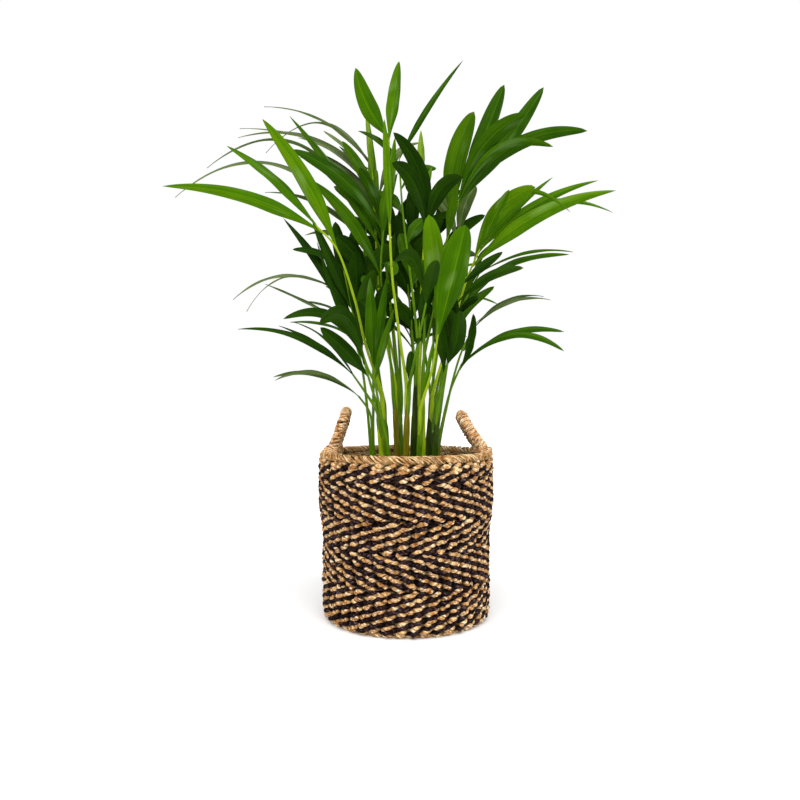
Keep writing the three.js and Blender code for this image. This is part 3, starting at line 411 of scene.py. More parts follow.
def mix(pair, share):
    return pair[0] + (pair[1] - pair[0]) * share


def alternate(values, index):
    return values[index % len(values)]


def shares(count):
    return np.arange(count + 1) / count


def turns_of(count):
    """Angles that part a whole turn evenly."""
    return np.arange(count) * TURN / count


def outwards_at(turn):
    """Level directions away from the axis."""
    return np.stack([np.cos(turn), np.sin(turn), np.zeros_like(turn)], axis=-1)


class Skin:
    """The faces of one piece, gathered from tubes and sheets."""

    def __init__(self):
        self.points = []
        self.total = 0
        self.faces = []
        self.uvs = []

    def add_points(self, points):
        first = self.total
        self.points.append(points.reshape(-1, 3))
        self.total += len(self.points[-1])
        return first

    def add_faces(self, corners, uvs):
        self.faces += corners.reshape(-1, corners.shape[-1]).tolist()
        self.uvs.append(uvs.reshape(-1, 2))

    def grid(self, points, us, vs, around, looped=False):
        """Quads over rows of points. around joins the columns, looped the rows."""
        rows, columns = points.shape[:2]
        first = self.add_points(points)
        row = np.arange(rows if looped else rows - 1)[:, None]
        column = np.arange(columns if around else columns - 1)[None, :]
        next_row = (row + 1) % rows
        next_column = (column + 1) % columns
        corners = [(row, column), (row, next_column), (next_row, next_column), (next_row, column)]
        quads = np.stack([first + r * columns + c for r, c in corners], axis=-1)
        us, vs = np.asarray(us, float), np.asarray(vs, float)
        uvs = np.empty(quads.shape + (2,))
        uvs[..., 0] = np.stack([us[column], us[column + 1], us[column + 1], us[column]], axis=-1)
        uvs[..., 1] = np.stack([vs[row], vs[row], vs[row + 1], vs[row + 1]], axis=-1)
        self.add_faces(quads, uvs)
        return first

    def cap(self, ring, first, v, last):
        """Closes the end of a tube with a fan."""
        centre = self.add_points(ring.mean(axis=0))
        columns = np.arange(len(ring))
        after = (columns + 1) % len(ring)
        order = (columns, after) if last else (after, columns)
        fan = np.stack([np.full(len(ring), centre), first + order[0], first + order[1]], axis=-1)
        uvs = np.empty(fan.shape + (2,))
        uvs[..., 0] = 0.5
        uvs[..., 1] = v
        self.add_faces(fan, uvs)

    def tube(self, rings, us, vs, looped=False):
        first = self.grid(rings, us, vs, True, looped)
        if looped:
            return
        self.cap(rings[0], first, vs[0], False)
        self.cap(rings[-1], first + (len(rings) - 1) * rings.shape[1], vs[-1], True)

    def strand(self, centres, normals, binormals, radii, vs, looped=False, binormal_radii=None):
        """A tube along centres. radii holds a row for each ring and a column for each side."""
        sides = radii.shape[1]
        angles = turns_of(sides)
        along_normal = (radii * np.cos(angles))[..., None] * normals[:, None]
        binormal_radii = radii if binormal_radii is None else binormal_radii
        along_binormal = (binormal_radii * np.sin(angles))[..., None] * binormals[:, None]
        self.tube(centres[:, None] + along_normal + along_binormal, shares(sides), vs, looped)

    def mesh(self, name):
        points = np.concatenate(self.points) * MM
        mesh = bpy.data.meshes.new(name)
        mesh.from_pydata(points.tolist(), [], self.faces)
        layer = mesh.uv_layers.new(name="UVMap")
        layer.uv.foreach_set("vector", np.concatenate(self.uvs).astype(np.float32).ravel())
        mesh.shade_smooth()
        return mesh


def add_object(name, data):
    made = bpy.data.objects.new(name, data)
    bpy.context.scene.collection.objects.link(made)
    return made


def add_piece(name, skin, material, nodes, sharp=50):
    """Makes the object of a piece that stands for nodes of the solid model."""
    mesh = skin.mesh(name)
    mesh.set_sharp_from_angle(angle=math.radians(sharp))
    mesh.materials.append(material)
    piece = add_object(name, mesh)
    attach(piece, "root")
    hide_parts(*nodes)


# Paths


class Path:
    """A curve by its arc length, from a function of 0 to 1."""

    SAMPLES = 200
    REACH = 1e-4

    def __init__(self, point_at):
        self.point_at = point_at
        self.times = np.linspace(0, 1, self.SAMPLES + 1)
        steps = np.linalg.norm(np.diff(point_at(self.times), axis=0), axis=1)
        self.lengths = np.concatenate([[0], np.cumsum(steps)])
        self.length = self.lengths[-1]

    def time(self, share):
        return np.interp(np.atleast_1d(share) * self.length, self.lengths, self.times)

    def at(self, share):
        points = self.point_at(self.time(share))
        return points if np.ndim(share) else points[0]

    def tangent(self, share):
        time = self.time(share)
        after = self.point_at(np.minimum(time + self.REACH, 1))
        before = self.point_at(np.maximum(time - self.REACH, 0))
        tangents = unit(after - before)
        return tangents if np.ndim(share) else tangents[0]


def bezier(start, middle, end):
    def point_at(time):
        time = np.atleast_1d(time)[:, None]
        return (1 - time) ** 2 * start + 2 * time * (1 - time) * middle + time ** 2 * end
    return point_at


def catmull_rom(points):
    """A smooth curve through points, each span timed by the root of its length."""
    points = np.asarray(points, float)
    ends = np.vstack([2 * points[0] - points[1], points, 2 * points[-1] - points[-2]])
    spans = len(points) - 1
    knots = np.sqrt(np.linalg.norm(np.diff(ends, axis=0), axis=1))

    def point_at(time):
        scaled = np.clip(np.atleast_1d(time), 0, 1) * spans
        span = np.minimum(scaled.astype(int), spans - 1)
        part = (scaled - span)[:, None]
        before, start, end, after = (ends[span + step] for step in range(4))
        first, middle, last = (knots[span + step][:, None] for step in range(3))
        leave = (start - before) / first - (end - before) / (first + middle) + (end - start) / middle
        arrive = (end - start) / middle - (after - start) / (middle + last) + (after - end) / last
        leave, arrive = leave * middle, arrive * middle
        square = -3 * start + 3 * end - 2 * leave - arrive
        cube = 2 * start - 2 * end + leave + arrive
        return start + leave * part + square * part ** 2 + cube * part ** 3

    return point_at


def squared(reference, tangents):
    """Directions square to the tangents, as near to the reference as can be."""
    return unit(reference - tangents * np.sum(reference * tangents, axis=-1, keepdims=True))


def wander(turn, random, amount, beats):
    """A smooth random wave round a circle."""
    total = np.zeros_like(turn)
    for beat in beats:
        total = total + np.sin(beat * turn + random.uniform(0, TURN))
    return amount * total / len(beats)


# Materials


def linear(colour):
    channels = [value / 255 for value in colour]
    return tuple(c / 12.92 if c < 0.04045 else ((c + 0.055) / 1.055) ** 2.4 for c in channels) + (1,)


class Value:
    """What a node of a shader gives, which takes part in sums as a number does."""

    def __init__(self, shader, socket):
        self.shader = shader
        self.socket = socket

    def __add__(self, other):
        return self.shader.math("ADD", self, other)

    def __sub__(self, other):
        return self.shader.math("SUBTRACT", self, other)

    def __mul__(self, other):
        return self.shader.math("MULTIPLY", self, other)

    def __abs__(self):
        return self.shader.math("ABSOLUTE", self)


class Shader:
    """A material made of nodes."""

    def __init__(self, name):
        self.material = bpy.data.materials.new(name)
        self.material.use_nodes = True
        self.tree = self.material.node_tree
        self.surface = self.tree.nodes["Principled BSDF"]

    def node(self, kind, inputs, output=0, **settings):
        node = self.tree.nodes.new(kind)
        for key, value in settings.items():
            setattr(node, key, value)
        for key, value in inputs.items():
            self.feed(node, key, value)
        return Value(self, node.outputs[output])

    def feed(self, node, key, value):
        if isinstance(value, Value):
            self.tree.links.new(value.socket, node.inputs[key])
        else:
            node.inputs[key].default_value = value

    def coordinates(self, kind):
        return self.node("ShaderNodeTexCoord", {}, kind)

    def split(self, kind):
        """The three parts of a coordinate."""
        parts = self.node("ShaderNodeSeparateXYZ", {0: self.coordinates(kind)}).socket.node.outputs
        return [Value(self, part) for part in parts]

    def join(self, x, y, z):
        return self.node("ShaderNodeCombineXYZ", {0: x, 1: y, 2: z})

    def math(self, operation, first, second=0.0):
        return self.node("ShaderNodeMath", {0: first, 1: second}, operation=operation)

    def most(self, first, second):
        return self.math("MAXIMUM", first, second)

    def weighed(self, weights, first, *others):
        total = first * weights[0]
        for weight, other in zip(weights[1:], others):
            total = total + other * weight
        return total

    def remap(self, value, old, new, **settings):
        inputs = {0: value, 1: old[0], 2: old[1], 3: new[0], 4: new[1]}
        return self.node("ShaderNodeMapRange", inputs, **settings)

    def noise(self, vector, scale, detail=2.0, rough=0.5):
        inputs = {"Vector": vector, "Scale": scale, "Detail": detail, "Roughness": rough}
        return self.node("ShaderNodeTexNoise", inputs)

    def random(self, value):
        return self.node("ShaderNodeTexWhiteNoise", {"W": value}, noise_dimensions="1D")

    def blend(self, share, first, colour):
        return self.node("ShaderNodeMix", {0: share, 6: first, 7: linear(colour)}, 2, data_type="RGBA")

    def tones(self, share, tone):
        ramp = self.node("ShaderNodeValToRGB", {0: share})
        stops = ramp.socket.node.color_ramp.elements
        low, mean, high = TONE_STOPS
        stops[0].position, stops[0].color = low, linear(tone.low)
        stops[1].position, stops[1].color = high, linear(tone.high)
        stops.new(mean).color = linear(tone.mean)
        return ramp

    def bump(self, height, distance, strength=1.0):
        inputs = {"Height": height, "Distance": distance, "Strength": strength}
        return self.node("ShaderNodeBump", inputs)

    def finish(self, colour, roughness, normal, gloss=PLAIN_GLOSS):
        self.feed(self.surface, "Base Color", colour)
        self.feed(self.surface, "Roughness", roughness)
        self.feed(self.surface, "Normal", normal)
        self.feed(self.surface, "Specular IOR Level", gloss)
        return self.material


def leaf_material(name, tone):
    """A leaflet: veins along it, a paler midrib and root, a share of dry tips, pale patches of painted
    sheen, and painted light that makes one half paler than the other.
    """
    look = LEAF_LOOK
    shader = Shader(name)
    across, along, _ = shader.split("UV")
    number = shader.math("FLOOR", along)
    share = shader.math("FRACT", along)
    own = shader.random(number)
    veins = shader.noise(shader.join(across * look.veins, share, number), 1.0, 1.0)
    patches = shader.noise(shader.coordinates("Object"), look.patches)
    value = shader.weighed(look.weights, veins, patches, own)
    paler_tip = shader.remap(share, (0, 1), (-look.tip_paler, look.tip_paler))
    # Painted light: one half of each leaflet is paler and the other darker, as the two halves of a folded
    # blade catch the light
    painted_light_on_half = shader.remap(across, (0.49, 0.51), (-look.half_paler, look.half_paler))
    colour = shader.tones(value + paler_tip + painted_light_on_half, tone)
    rib = shader.remap(abs(across - 0.5), *look.rib)
    root = shader.remap(share, *look.root)
    colour = shader.blend(shader.most(rib, root), colour, tone.high)
    # Painted sheen: pale patches on part of the leaflets
    parts = [part * size for part, size in zip((across, share, number), look.spots)]
    spots = shader.noise(shader.join(*parts), 1.0, 1.0)
    colour = shader.blend(shader.remap(spots, PAINTED_SHEEN.share, (0, PAINTED_SHEEN.most)), colour, tone.bloom)
    dry_from = shader.remap(own, (1 - LEAF.dry, 1), look.dry_from)
    dry = shader.remap(share + veins * look.dry_ragged - dry_from, (0, look.dry_edge), (0, 1))
    colour = shader.blend(dry, colour, DRY_TIP)
    relief = shader.bump(veins - rib * look.rib_sunk, look.relief, look.relief_strength)
    return shader.finish(colour, shader.remap(patches, *look.rough), relief, LEAF.gloss)


def cane_material(name, tone):
    """A cane or stalk: fine ribs along it, fibrous streaks and a few brown flecks."""
    look = CANE_LOOK
    shader = Shader(name)
    around, along, _ = shader.split("UV")
    streaks = shader.noise(shader.join(around * look.streaks, along, 0.0), 1.0)
    patches = shader.noise(shader.join(around * look.patches, along, 3.0), 1.4)
    colour = shader.tones(shader.weighed(look.weights, streaks, patches) - look.darker, tone)
    flecks = shader.noise(shader.join(around * look.flecks, along, 9.0), 2.6, 3.0)
    colour = shader.blend(shader.remap(flecks, *look.fleck), colour, FLECK)
    relief = shader.bump(streaks, look.relief, look.relief_strength)
    return shader.finish(colour, shader.remap(patches, *look.rough), relief, look.gloss)


def wall_depth(shader):
    """How far a point of the wall lies inside the basket's outermost surface, in metres."""
    x, y, z = shader.split("Object")
    flare = (BASKET.flare_from * MM, BASKET.flare_to * MM)
    radii = (BASKET.foot_radius * MM, BASKET.top_radius * MM)
    foot_round = BASKET.foot_round * MM
    outside = shader.remap(z, flare, radii, interpolation_type="SMOOTHSTEP")
    up = shader.remap(z, (0, foot_round), (1, 0))
    level = shader.math("SQRT", shader.math("SUBTRACT", 1.0, up * up))
    rounding = shader.remap(level, (0, 1), (foot_round, 0))
    return outside - rounding - shader.math("SQRT", x * x + y * y)


def grass_material(name, tone):
    """Twisted dry grass: fibres along both plies, painted shade in the grooves and on the sides that the
    basket hides, lengths with painted highlights and browner lengths.
    """
    look = GRASS_LOOK
    shader = Shader(name)
    around, along, _ = shader.split("UV")
    ply = around * 2.0 - along
    fibres = shader.noise(shader.join(ply * look.fibres, along, 0.0), 1.3, 3.0, 0.62)
    place = shader.coordinates("Object")
    lengths = shader.noise(place, look.lengths, 2.0, 0.6)
    patches = shader.noise(place, look.patches, 1.0)
    value = shader.weighed(look.weights, fibres, lengths, patches)
    colour = shader.tones(shader.remap(value, *look.contrast), tone)
    strips = shader.noise(shader.join(ply * look.strips, along, 5.0), 1.0, 1.0)
    # Painted highlights on some lengths of a strand; the browner lengths are the grass's own colour
    colour = shader.blend(shader.remap(strips, *HIGHLIGHT_STRIPS), colour, tone.light)
    colour = shader.blend(shader.remap(strips, *BROWN_STRIPS), colour, tone.low)
    # Painted shade in the grooves between the plies
    groove = abs(shader.math("COSINE", ply * math.pi))
    shade = shader.remap(groove, *look.groove)
    # Painted shade: a strand is darker on the side that its place in the basket hides
    wave = "SINE" if tone.shows == "inwards" else "COSINE"
    inside = abs(shader.math(wave, around * math.pi))
    shade = shader.most(shade, shader.remap(inside, *look.hidden))
    # Painted shade where a strand of the wall lies deeper
    if tone.shows == "woven":
        sunk_shade_depths = (SUNK_SHADE.depth[0] * MM, SUNK_SHADE.depth[1] * MM)
        shade = shader.most(shade, shader.remap(wall_depth(shader), sunk_shade_depths, (0, SUNK_SHADE.shade)))
    # All the painted shade takes the crease colour
    colour = shader.blend(shade, colour, tone.crease)
    relief = shader.bump(fibres, look.relief)
    return shader.finish(colour, shader.remap(fibres, *look.rough), relief, look.gloss)


def soil_material():
    shader = Shader("potting_soil")
    place = shader.coordinates("Object")
    grains = shader.noise(place, 420, 4.0, 0.7)
    value = shader.weighed((0.6, 0.4), grains, shader.noise(place, 60))
    colour = shader.tones(value, SOIL_TONE)
    return shader.finish(colour, 0.95, shader.bump(grains, 0.002))


def bark_material():
    shader = Shader("bark_bits")
    grain = shader.noise(shader.coordinates("Object"), 260, 4.0, 0.65)
    return shader.finish(shader.tones(grain, BARK_TONE), 0.9, shader.bump(grain, 0.0015))


def plastic_material():
    shader = Shader("pot_plastic")
    place = shader.coordinates("Object")
    grain = shader.noise(place, 900)
    dust = shader.noise(place, 35, 3.0)
    roughness = shader.remap(dust, (0.35, 0.65), (0.38, 0.6))
    return shader.finish(shader.tones(dust, PLASTIC_TONE), roughness, shader.bump(grain, 0.0002, 0.4))


def floor_material():
    shader = Shader("studio_floor")
    shader.feed(shader.surface, "Base Color", (FLOOR.shade, FLOOR.shade, FLOOR.shade, 1))
    shader.feed(shader.surface, "Roughness", FLOOR.roughness)
    return shader.material


# Basket


def basket_radius(height):
    """Outside of the wall, with a rounded foot."""
    flare = smooth(height, BASKET.flare_from, BASKET.flare_to)
    radius = mix((BASKET.foot_radius, BASKET.top_radius), flare)
    up = np.clip(1 - height / BASKET.foot_round, 0, 1)
    return radius - BASKET.foot_round * (1 - np.sqrt(1 - up * up))


def slant_at(height):
    return [slant for start, slant in SLANTS if height >= start][-1]


def ply_radii(distance, sides, pitch, depth):
    """Radius of twisted grass: two rounded plies that run round the strand."""
    mean = 0.64
    twist = TURN * distance / pitch
    return 1 + depth * (np.abs(np.cos((2 * turns_of(sides) - twist[:, None]) / 2)) - mean)


def weave_strand(skin, height, middle, phase, slant, full, steps, random):
    """One strand of a row of the twined wall, as a closed ring. It's fullest where it
    shows, and narrow where the other strand lies over it."""
    turn = turns_of(steps)
    lay = WEAVE.turns * turn + phase + wander(turn, random, *WEAVE.lay_waves)
    size = full * (1 + wander(turn, random, *WEAVE.size_waves))
    size = size * mix(WEAVE.taper, smooth(np.cos(lay), *WEAVE.shows))
    radius = middle + WEAVE.in_out * np.cos(lay) + wander(turn, random, *WEAVE.out_waves)
    up = height + slant * WEAVE.rise * np.sin(lay) + wander(turn, random, *WEAVE.up_waves)
    up = np.maximum(up, WEAVE.lowest)
    normals = outwards_at(turn)
    centres = normals * radius[:, None] + up[:, None] * UP
    length = TURN * middle
    pitch = length / round(length / WEAVE.ply_pitch)
    shape = ply_radii(turn * middle, WEAVE.sides, slant * pitch, WEAVE.ply_depth) * size[:, None]
    vs = random.integers(9999) + slant * np.arange(steps + 1) * length / steps / pitch
    skin.strand(centres, normals, -UP[None], shape * WEAVE.thick_out, vs, True, shape * WEAVE.thick_up)


def build_wall(materials):
    """Rows of two strands, a pale one and a dark one, in zones that slant to and fro."""
    random = np.random.default_rng(11)
    skins = {}
    phase = 0.0
    for row in range(WEAVE.rows):
        height = WEAVE.first_row + row * WEAVE.row_pitch
        middle = basket_radius(height) + WEAVE.proud - WEAVE.thick_out - WEAVE.in_out
        slant = slant_at(height)
        part = "lower" if row < WEAVE.halfway else "upper"
        for tone, half_turn in (("tan", 0), ("dark", math.pi)):
            shown = "tan" if row in PLAIN_ROWS else tone
            skin = skins.setdefault((shown, part), Skin())
            full = WEAVE.full[tone]
            weave_strand(skin, height, middle, phase + half_turn, slant, full, WEAVE.steps, random)
        phase -= slant * TURN * WEAVE.row_shift
    for (tone, part), skin in skins.items():
        add_piece(f"weave_{tone}_{part}", skin, materials[tone], ["basket_body"])


def build_lining(material):
    """The inner side of the wall over the pot."""
    skin = Skin()
    random = np.random.default_rng(17)
    for row in range(LINING.rows):
        height = LINING.first + row * WEAVE.row_pitch
        for half_turn in (0, math.pi):
            weave_strand(skin, height, LINING.radius, row + half_turn, 1, 1, LINING.steps, random)
    add_piece("wall_lining", skin, material, ["basket_body"])


def build_core(material):
    """The stakes between the strands of the wall, and the closed floor."""
    heights = np.linspace(WALL_CORE.foot, WALL_CORE.top, WALL_CORE.rows)
    turn = turns_of(WALL_CORE.sides)
    outwards = outwards_at(turn)
    stake = WALL_CORE.stake * np.cos(turn * WALL_CORE.sides / WALL_CORE.stake_every)
    points = []
    for height in heights:
        radius = basket_radius(height) - WALL_CORE.inwards + stake
        points.append(outwards * radius[:, None] + height * UP)
    for height in heights[::-1]:
        radius = basket_radius(height) - WALL_CORE.inwards - WALL_CORE.thick + stake
        points.append(outwards * radius[:, None] + max(height, UNDERSIDE.core + WALL_CORE.floor) * UP)
    skin = Skin()
    us = np.arange(WALL_CORE.sides + 1) / WALL_CORE.stake_every
    skin.tube(np.array(points), us, np.linspace(0, WALL_CORE.pattern, len(points)))
    add_piece("wall_core", skin, material, ["basket_body"])


def build_underside(material):
    """The rope spiral under the floor."""
    reach = UNDERSIDE.radius - UNDERSIDE.rope
    turns = reach / UNDERSIDE.pitch
    length = math.pi * turns * UNDERSIDE.radius
    count = int(length / UNDERSIDE.step)
    share = np.sqrt(np.linspace(UNDERSIDE.start, 1, count))
    normals = outwards_at(share * turns * TURN)
    centres = normals * (share * reach)[:, None] + UNDERSIDE.height * UP
    distance = np.linspace(0, length, count)
    shape = ply_radii(distance, UNDERSIDE.sides, UNDERSIDE.ply_pitch, UNDERSIDE.ply_depth)
    skin = Skin()
    skin.strand(centres, normals, -UP[None], UNDERSIDE.rope * shape, distance / UNDERSIDE.ply_pitch)
    add_piece("underside_coil", skin, material, ["basket_body"])


def build_rim(material):
    skin = Skin()
    random = np.random.default_rng(23)
    steps = RIM.steps
    turn = turns_of(steps)
    length = TURN * RIM.radius
    turns = round(length / RIM.pitch)
    ply_pitch = length / round(length / RIM.ply_pitch)
    outwards = outwards_at(turn)
    for strand in range(RIM.strands):
        lay = turns * turn + TURN * strand / RIM.strands + wander(turn, random, *RIM.lay_waves)
        aside = outwards * (RIM.across * np.cos(lay))[:, None] - UP * (RIM.up * np.sin(lay))[:, None]
        up = RIM.middle + wander(turn, random, *RIM.up_waves)
        centres = outwards * RIM.radius + up[:, None] * UP + aside
        tangents = unit(np.roll(centres, -1, axis=0) - np.roll(centres, 1, axis=0))
        normals = squared(aside, tangents)
        size = 1 + wander(turn, random, *RIM.size_waves)
        radii = RIM.strand * ply_radii(turn * RIM.radius, RIM.sides, -ply_pitch, RIM.ply_depth)
        vs = strand * RIM.pattern - np.arange(steps + 1) * length / steps / ply_pitch
        skin.strand(centres, normals, np.cross(tangents, normals), radii * size[:, None], vs, True)
    add_piece("rim_rope", skin, material, ["basket_rim"])


def handle_path(handle):
    foot = BASKET.height + CLEAR
    top = handle.top_z - HANDLE.rope_radius
    points = []
    for rise, lean, spread in HANDLE_ARCH:
        x = handle.side * mix((handle.foot_x, handle.top_x), lean)
        points.append((x, spread * HANDLE.foot_y, mix((foot, top), rise)))
    points = np.array(points, float)
    sink = HANDLE.sink * UP
    return Path(catmull_rom(np.vstack([points[0] - sink, points, points[-1] - sink])))


def build_handle(handle, material):
    """Strands laid round the arch, with lashings where it meets the rim."""
    skin = Skin()
    random = np.random.default_rng(31 + handle.side)
    path = handle_path(handle)
    share = shares(HANDLE.steps)
    spine = path.at(share)
    tangents = path.tangent(share)
    normals = squared(np.array([1.0, 0.0, 0.0]), tangents)
    binormals = np.cross(tangents, normals)
    distance = share * path.length

    def wave(size, length):
        return size * np.sin(distance / length + random.uniform(0, TURN))

    for strand in range(HANDLE.strands):
        lay = TURN * (distance / HANDLE.pitch + strand / HANDLE.strands) + wave(*HANDLE.lay_wave)
        reach = handle.full * HANDLE.lay * (1 + wave(*HANDLE.reach_wave))
        aside = normals * (reach * np.cos(lay))[:, None] + binormals * (reach * np.sin(lay))[:, None]
        strand_tangents = unit(np.gradient(spine + aside, axis=0))
        strand_normals = unit(aside)
        strand_binormals = unit(np.cross(strand_tangents, strand_normals))
        run = distance * math.hypot(1, TURN * HANDLE.lay / HANDLE.pitch)
        shape = ply_radii(run, HANDLE.sides, HANDLE.ply_pitch, HANDLE.ply_depth)
        radii = handle.full * HANDLE.strand * shape
        vs = strand * HANDLE.pattern + run / HANDLE.ply_pitch
        skin.strand(spine + aside, strand_normals, strand_binormals, radii, vs)
    for end in (0.0, 1.0):
        add_lashing(skin, path.at(end), random)
    add_piece(f"{handle.name}_rope", skin, material, [handle.name])


def add_lashing(skin, foot, random):
    """Turns of thin rope round the foot of a handle and the rim under it."""
    share = np.linspace(0, 1, LASHING.steps)
    turn = share * LASHING.loops * TURN + random.uniform(0, TURN)
    drop = LASHING.drop - share * LASHING.loops * LASHING.pitch
    up = foot[2] + HANDLE.sink - drop * 0.5
    radius = LASHING.radius - LASHING.narrows * share
    outwards = outwards_at(turn)
    centres = foot * np.array([1, 1, 0]) + outwards * radius[:, None] + up[:, None] * UP
    tangents = unit(np.gradient(centres, axis=0))
    normals = squared(outwards, tangents)
    distance = turn * LASHING.radius
    radii = LASHING.rope * ply_radii(distance, LASHING.sides, HANDLE.ply_pitch, LASHING.ply_depth)
    skin.strand(centres, normals, np.cross(tangents, normals), radii, distance / HANDLE.ply_pitch)


def build_stray_fibres(material):
    """Ends of grass that stand out of the weave."""
    skin = Skin()
    random = np.random.default_rng(47)
    share = np.linspace(0, 1, STRAY.steps)
    for index in range(STRAY.count):
        turn = random.uniform(0, TURN)
        height = random.uniform(*STRAY.heights)
        outwards = outwards_at(turn)
        aside = np.cross(UP, outwards)
        length = random.uniform(*STRAY.length)
        root = outwards * (basket_radius(height) - STRAY.rooted) + height * UP
        lean = aside * random.uniform(*STRAY.aside) + UP * random.uniform(*STRAY.up)
        tip = root + unit(lean + outwards * random.uniform(*STRAY.outwards)) * length
        bend = (root + tip) / 2 + lean * length * STRAY.bend
        centres = bezier(root, bend, tip)(share)
        tangents = unit(np.gradient(centres, axis=0))
        normals = squared(outwards + STRAY.tilt * aside, tangents)
        radii = np.outer(STRAY.thick * (1 - STRAY.taper * share), np.ones(STRAY.sides))
        skin.strand(centres, normals, np.cross(tangents, normals), radii, index + share)
    add_piece("stray_fibres", skin, material, ["basket_body"])


# Pot and soil


def build_pot(material):
    """A profile turned about the axis. Its corners are radius and height, from the middle of
    the underside over the lip to the inside."""
    foot, top = POT.foot, POT.foot + POT.height
    lip = top - POT.lip
    wall = POT.wall
    profile = np.array([
        (0.5, foot + 1.2),
        (POT.foot_radius - 8, foot + 1.2),
        (POT.foot_radius - 6, foot),
        (POT.foot_radius - 1.5, foot),
        (POT.foot_radius, foot + 1.5),
        (POT.foot_radius + 1.4, foot + 16),
        (POT.foot_radius + 0.7, foot + 17),
        (POT.top_radius - 0.6, lip - 1),
        (POT.lip_radius - 0.8, lip),
        (POT.lip_radius, lip + 0.8),
        (POT.lip_radius, top - 1),
        (POT.lip_radius - 0.8, top),
        (POT.top_radius - wall + 0.6, top),
        (POT.top_radius - wall, top - 0.8),
        (POT.foot_radius - wall, foot + wall + 1),
        (0.5, foot + wall + 1),
    ])
    radii, heights = profile[:, 0, None, None], profile[:, 1, None, None]
    skin = Skin()
    points = outwards_at(turns_of(POT.sides)) * radii + heights * UP
    skin.tube(points, shares(POT.sides), np.arange(len(profile)))
    add_piece("grow_pot", skin, material, ["nursery_pot"], sharp=40)


def soil_height(x, y, waves):
    """Lumps of the soil's surface."""
    height = np.zeros_like(x)
    for size, direction, shift in waves:
        along = x * math.cos(direction) + y * math.sin(direction)
        height = height + size * np.sin(along / size / 3 + shift)
    return height * SOIL.flat


def build_soil(material, bark):
    random = np.random.default_rng(59)
    waves = []
    for _ in range(SOIL.waves):
        waves.append((random.uniform(*SOIL.lumps), random.uniform(0, TURN), random.uniform(0, TURN)))
    radius = np.linspace(0.4, SOIL.radius, SOIL.rings)
    turn = turns_of(SOIL.sides)
    x = radius[:, None] * np.cos(turn)
    y = radius[:, None] * np.sin(turn)
    z = SOIL.top + SOIL.raised + soil_height(x, y, waves)
    top = np.stack([x, y, z], axis=-1)[::-1]
    under = top[:1] * np.array([SOIL.foot_share, SOIL.foot_share, 0])
    under = under + (POT.foot + POT.wall + SOIL.over_pot) * UP
    skin = Skin()
    skin.tube(np.concatenate([under, top]), np.arange(SOIL.sides + 1) / 10, np.arange(len(top) + 1))
    add_piece("soil_top", skin, material, ["soil"])
    build_bark(bark, random, waves)


def build_bark(material, random, waves):
    """Loose bits of bark and clods on the soil."""
    skin = Skin()
    angles = turns_of(BARK.sides)
    rows = len(BARK.lifts)
    for index in range(BARK.bits):
        reach = SOIL.radius * BARK.reach * math.sqrt(random.uniform(0, 1))
        turn = random.uniform(0, TURN)
        x, y = reach * math.cos(turn), reach * math.sin(turn)
        length = random.uniform(*BARK.length)
        size = length * np.array([1, random.uniform(*BARK.width), random.uniform(*BARK.height)])
        spin = np.array(Euler(random.uniform(0, TURN, 3)).to_matrix())
        points = []
        for lift in BARK.lifts:
            radii = math.sqrt(1 - lift * lift) * random.uniform(*BARK.rough, BARK.sides)
            ring = radii[:, None] * outwards_at(angles) + lift * UP
            points.append((ring * size) @ spin.T)
        z = SOIL.top + BARK.raised + float(soil_height(np.array(x), np.array(y), waves))
        vs = index + np.arange(rows) / rows
        skin.tube(np.array(points) + np.array([x, y, z]), shares(BARK.sides), vs)
    add_piece("bark_on_soil", skin, material, ["soil"], sharp=30)


# Palm


def seen_at(x, z, depth):
    """The real place of a measured point: on the line of sight through it, at its depth."""
    share = (depth - EYE[1]) / -EYE[1]
    return EYE + (np.array([x, 0.0, z]) - EYE) * share


def cane_path(cane):
    start = np.array([*cane.foot, SOIL.top + CLEAR])
    end = seen_at(*cane.fork)
    middle = (start + end) / 2
    middle[:2] = mix((start[:2], end[:2]), CANE.middle)
    return Path(bezier(start, middle, end))


def turned_about(vector, axis, angle):
    along = axis * float(axis @ vector) * (1 - math.cos(angle))
    return vector * math.cos(angle) + np.cross(axis, vector) * math.sin(angle) + along


def rolled(face, ahead, root, tip):
    """The leaflets of both sides of a midrib are rolled towards it."""
    heading = unit(tip - root)
    across = np.cross(ahead, face)
    side = math.copysign(1, across @ heading) if across @ heading else 1
    return turned_about(face, heading, side * math.radians(BLADE.roll))


def stalk_path(cane, turn, seats, points):
    """The path of a stalk, from its seat on its cane's fork."""
    out = cane.path.tangent(1.0)
    across = unit(np.cross(out, FRONT))
    ahead = unit(np.cross(across, out))
    spacing = 2 * STALK.foot + STALK.apart
    ring = spacing / (2 * math.sin(math.pi / seats)) if seats > 1 else 0
    foot = cane.path.at(1.0) + out * CLEAR
    foot = foot + across * ring * math.cos(turn) - ahead * ring * math.sin(turn)
    return Path(catmull_rom([foot, foot + out * STALK.lead, *points]))


def measured_frond(name, cane, tone, tilt, stalk, blades):
    tilt = math.radians(tilt)
    face = UP * math.cos(tilt) + FRONT * math.sin(tilt)

    def leaflets(path):
        made = []
        for along, x, z, depth, width, bow in blades:
            root = path.at(along)
            tips = [seen_at(x, z, depth + step) for step in DEPTH_STEPS]
            own_face = rolled(face, path.tangent(along), root, tips[0])
            made.append(Settings(root=root, tips=tips, width=width, bow=bow, face=own_face))
        return made

    route = [seen_at(*point) for point in stalk]
    return Settings(name=name, cane=cane, tone=tone, route=route, leaflets=leaflets)


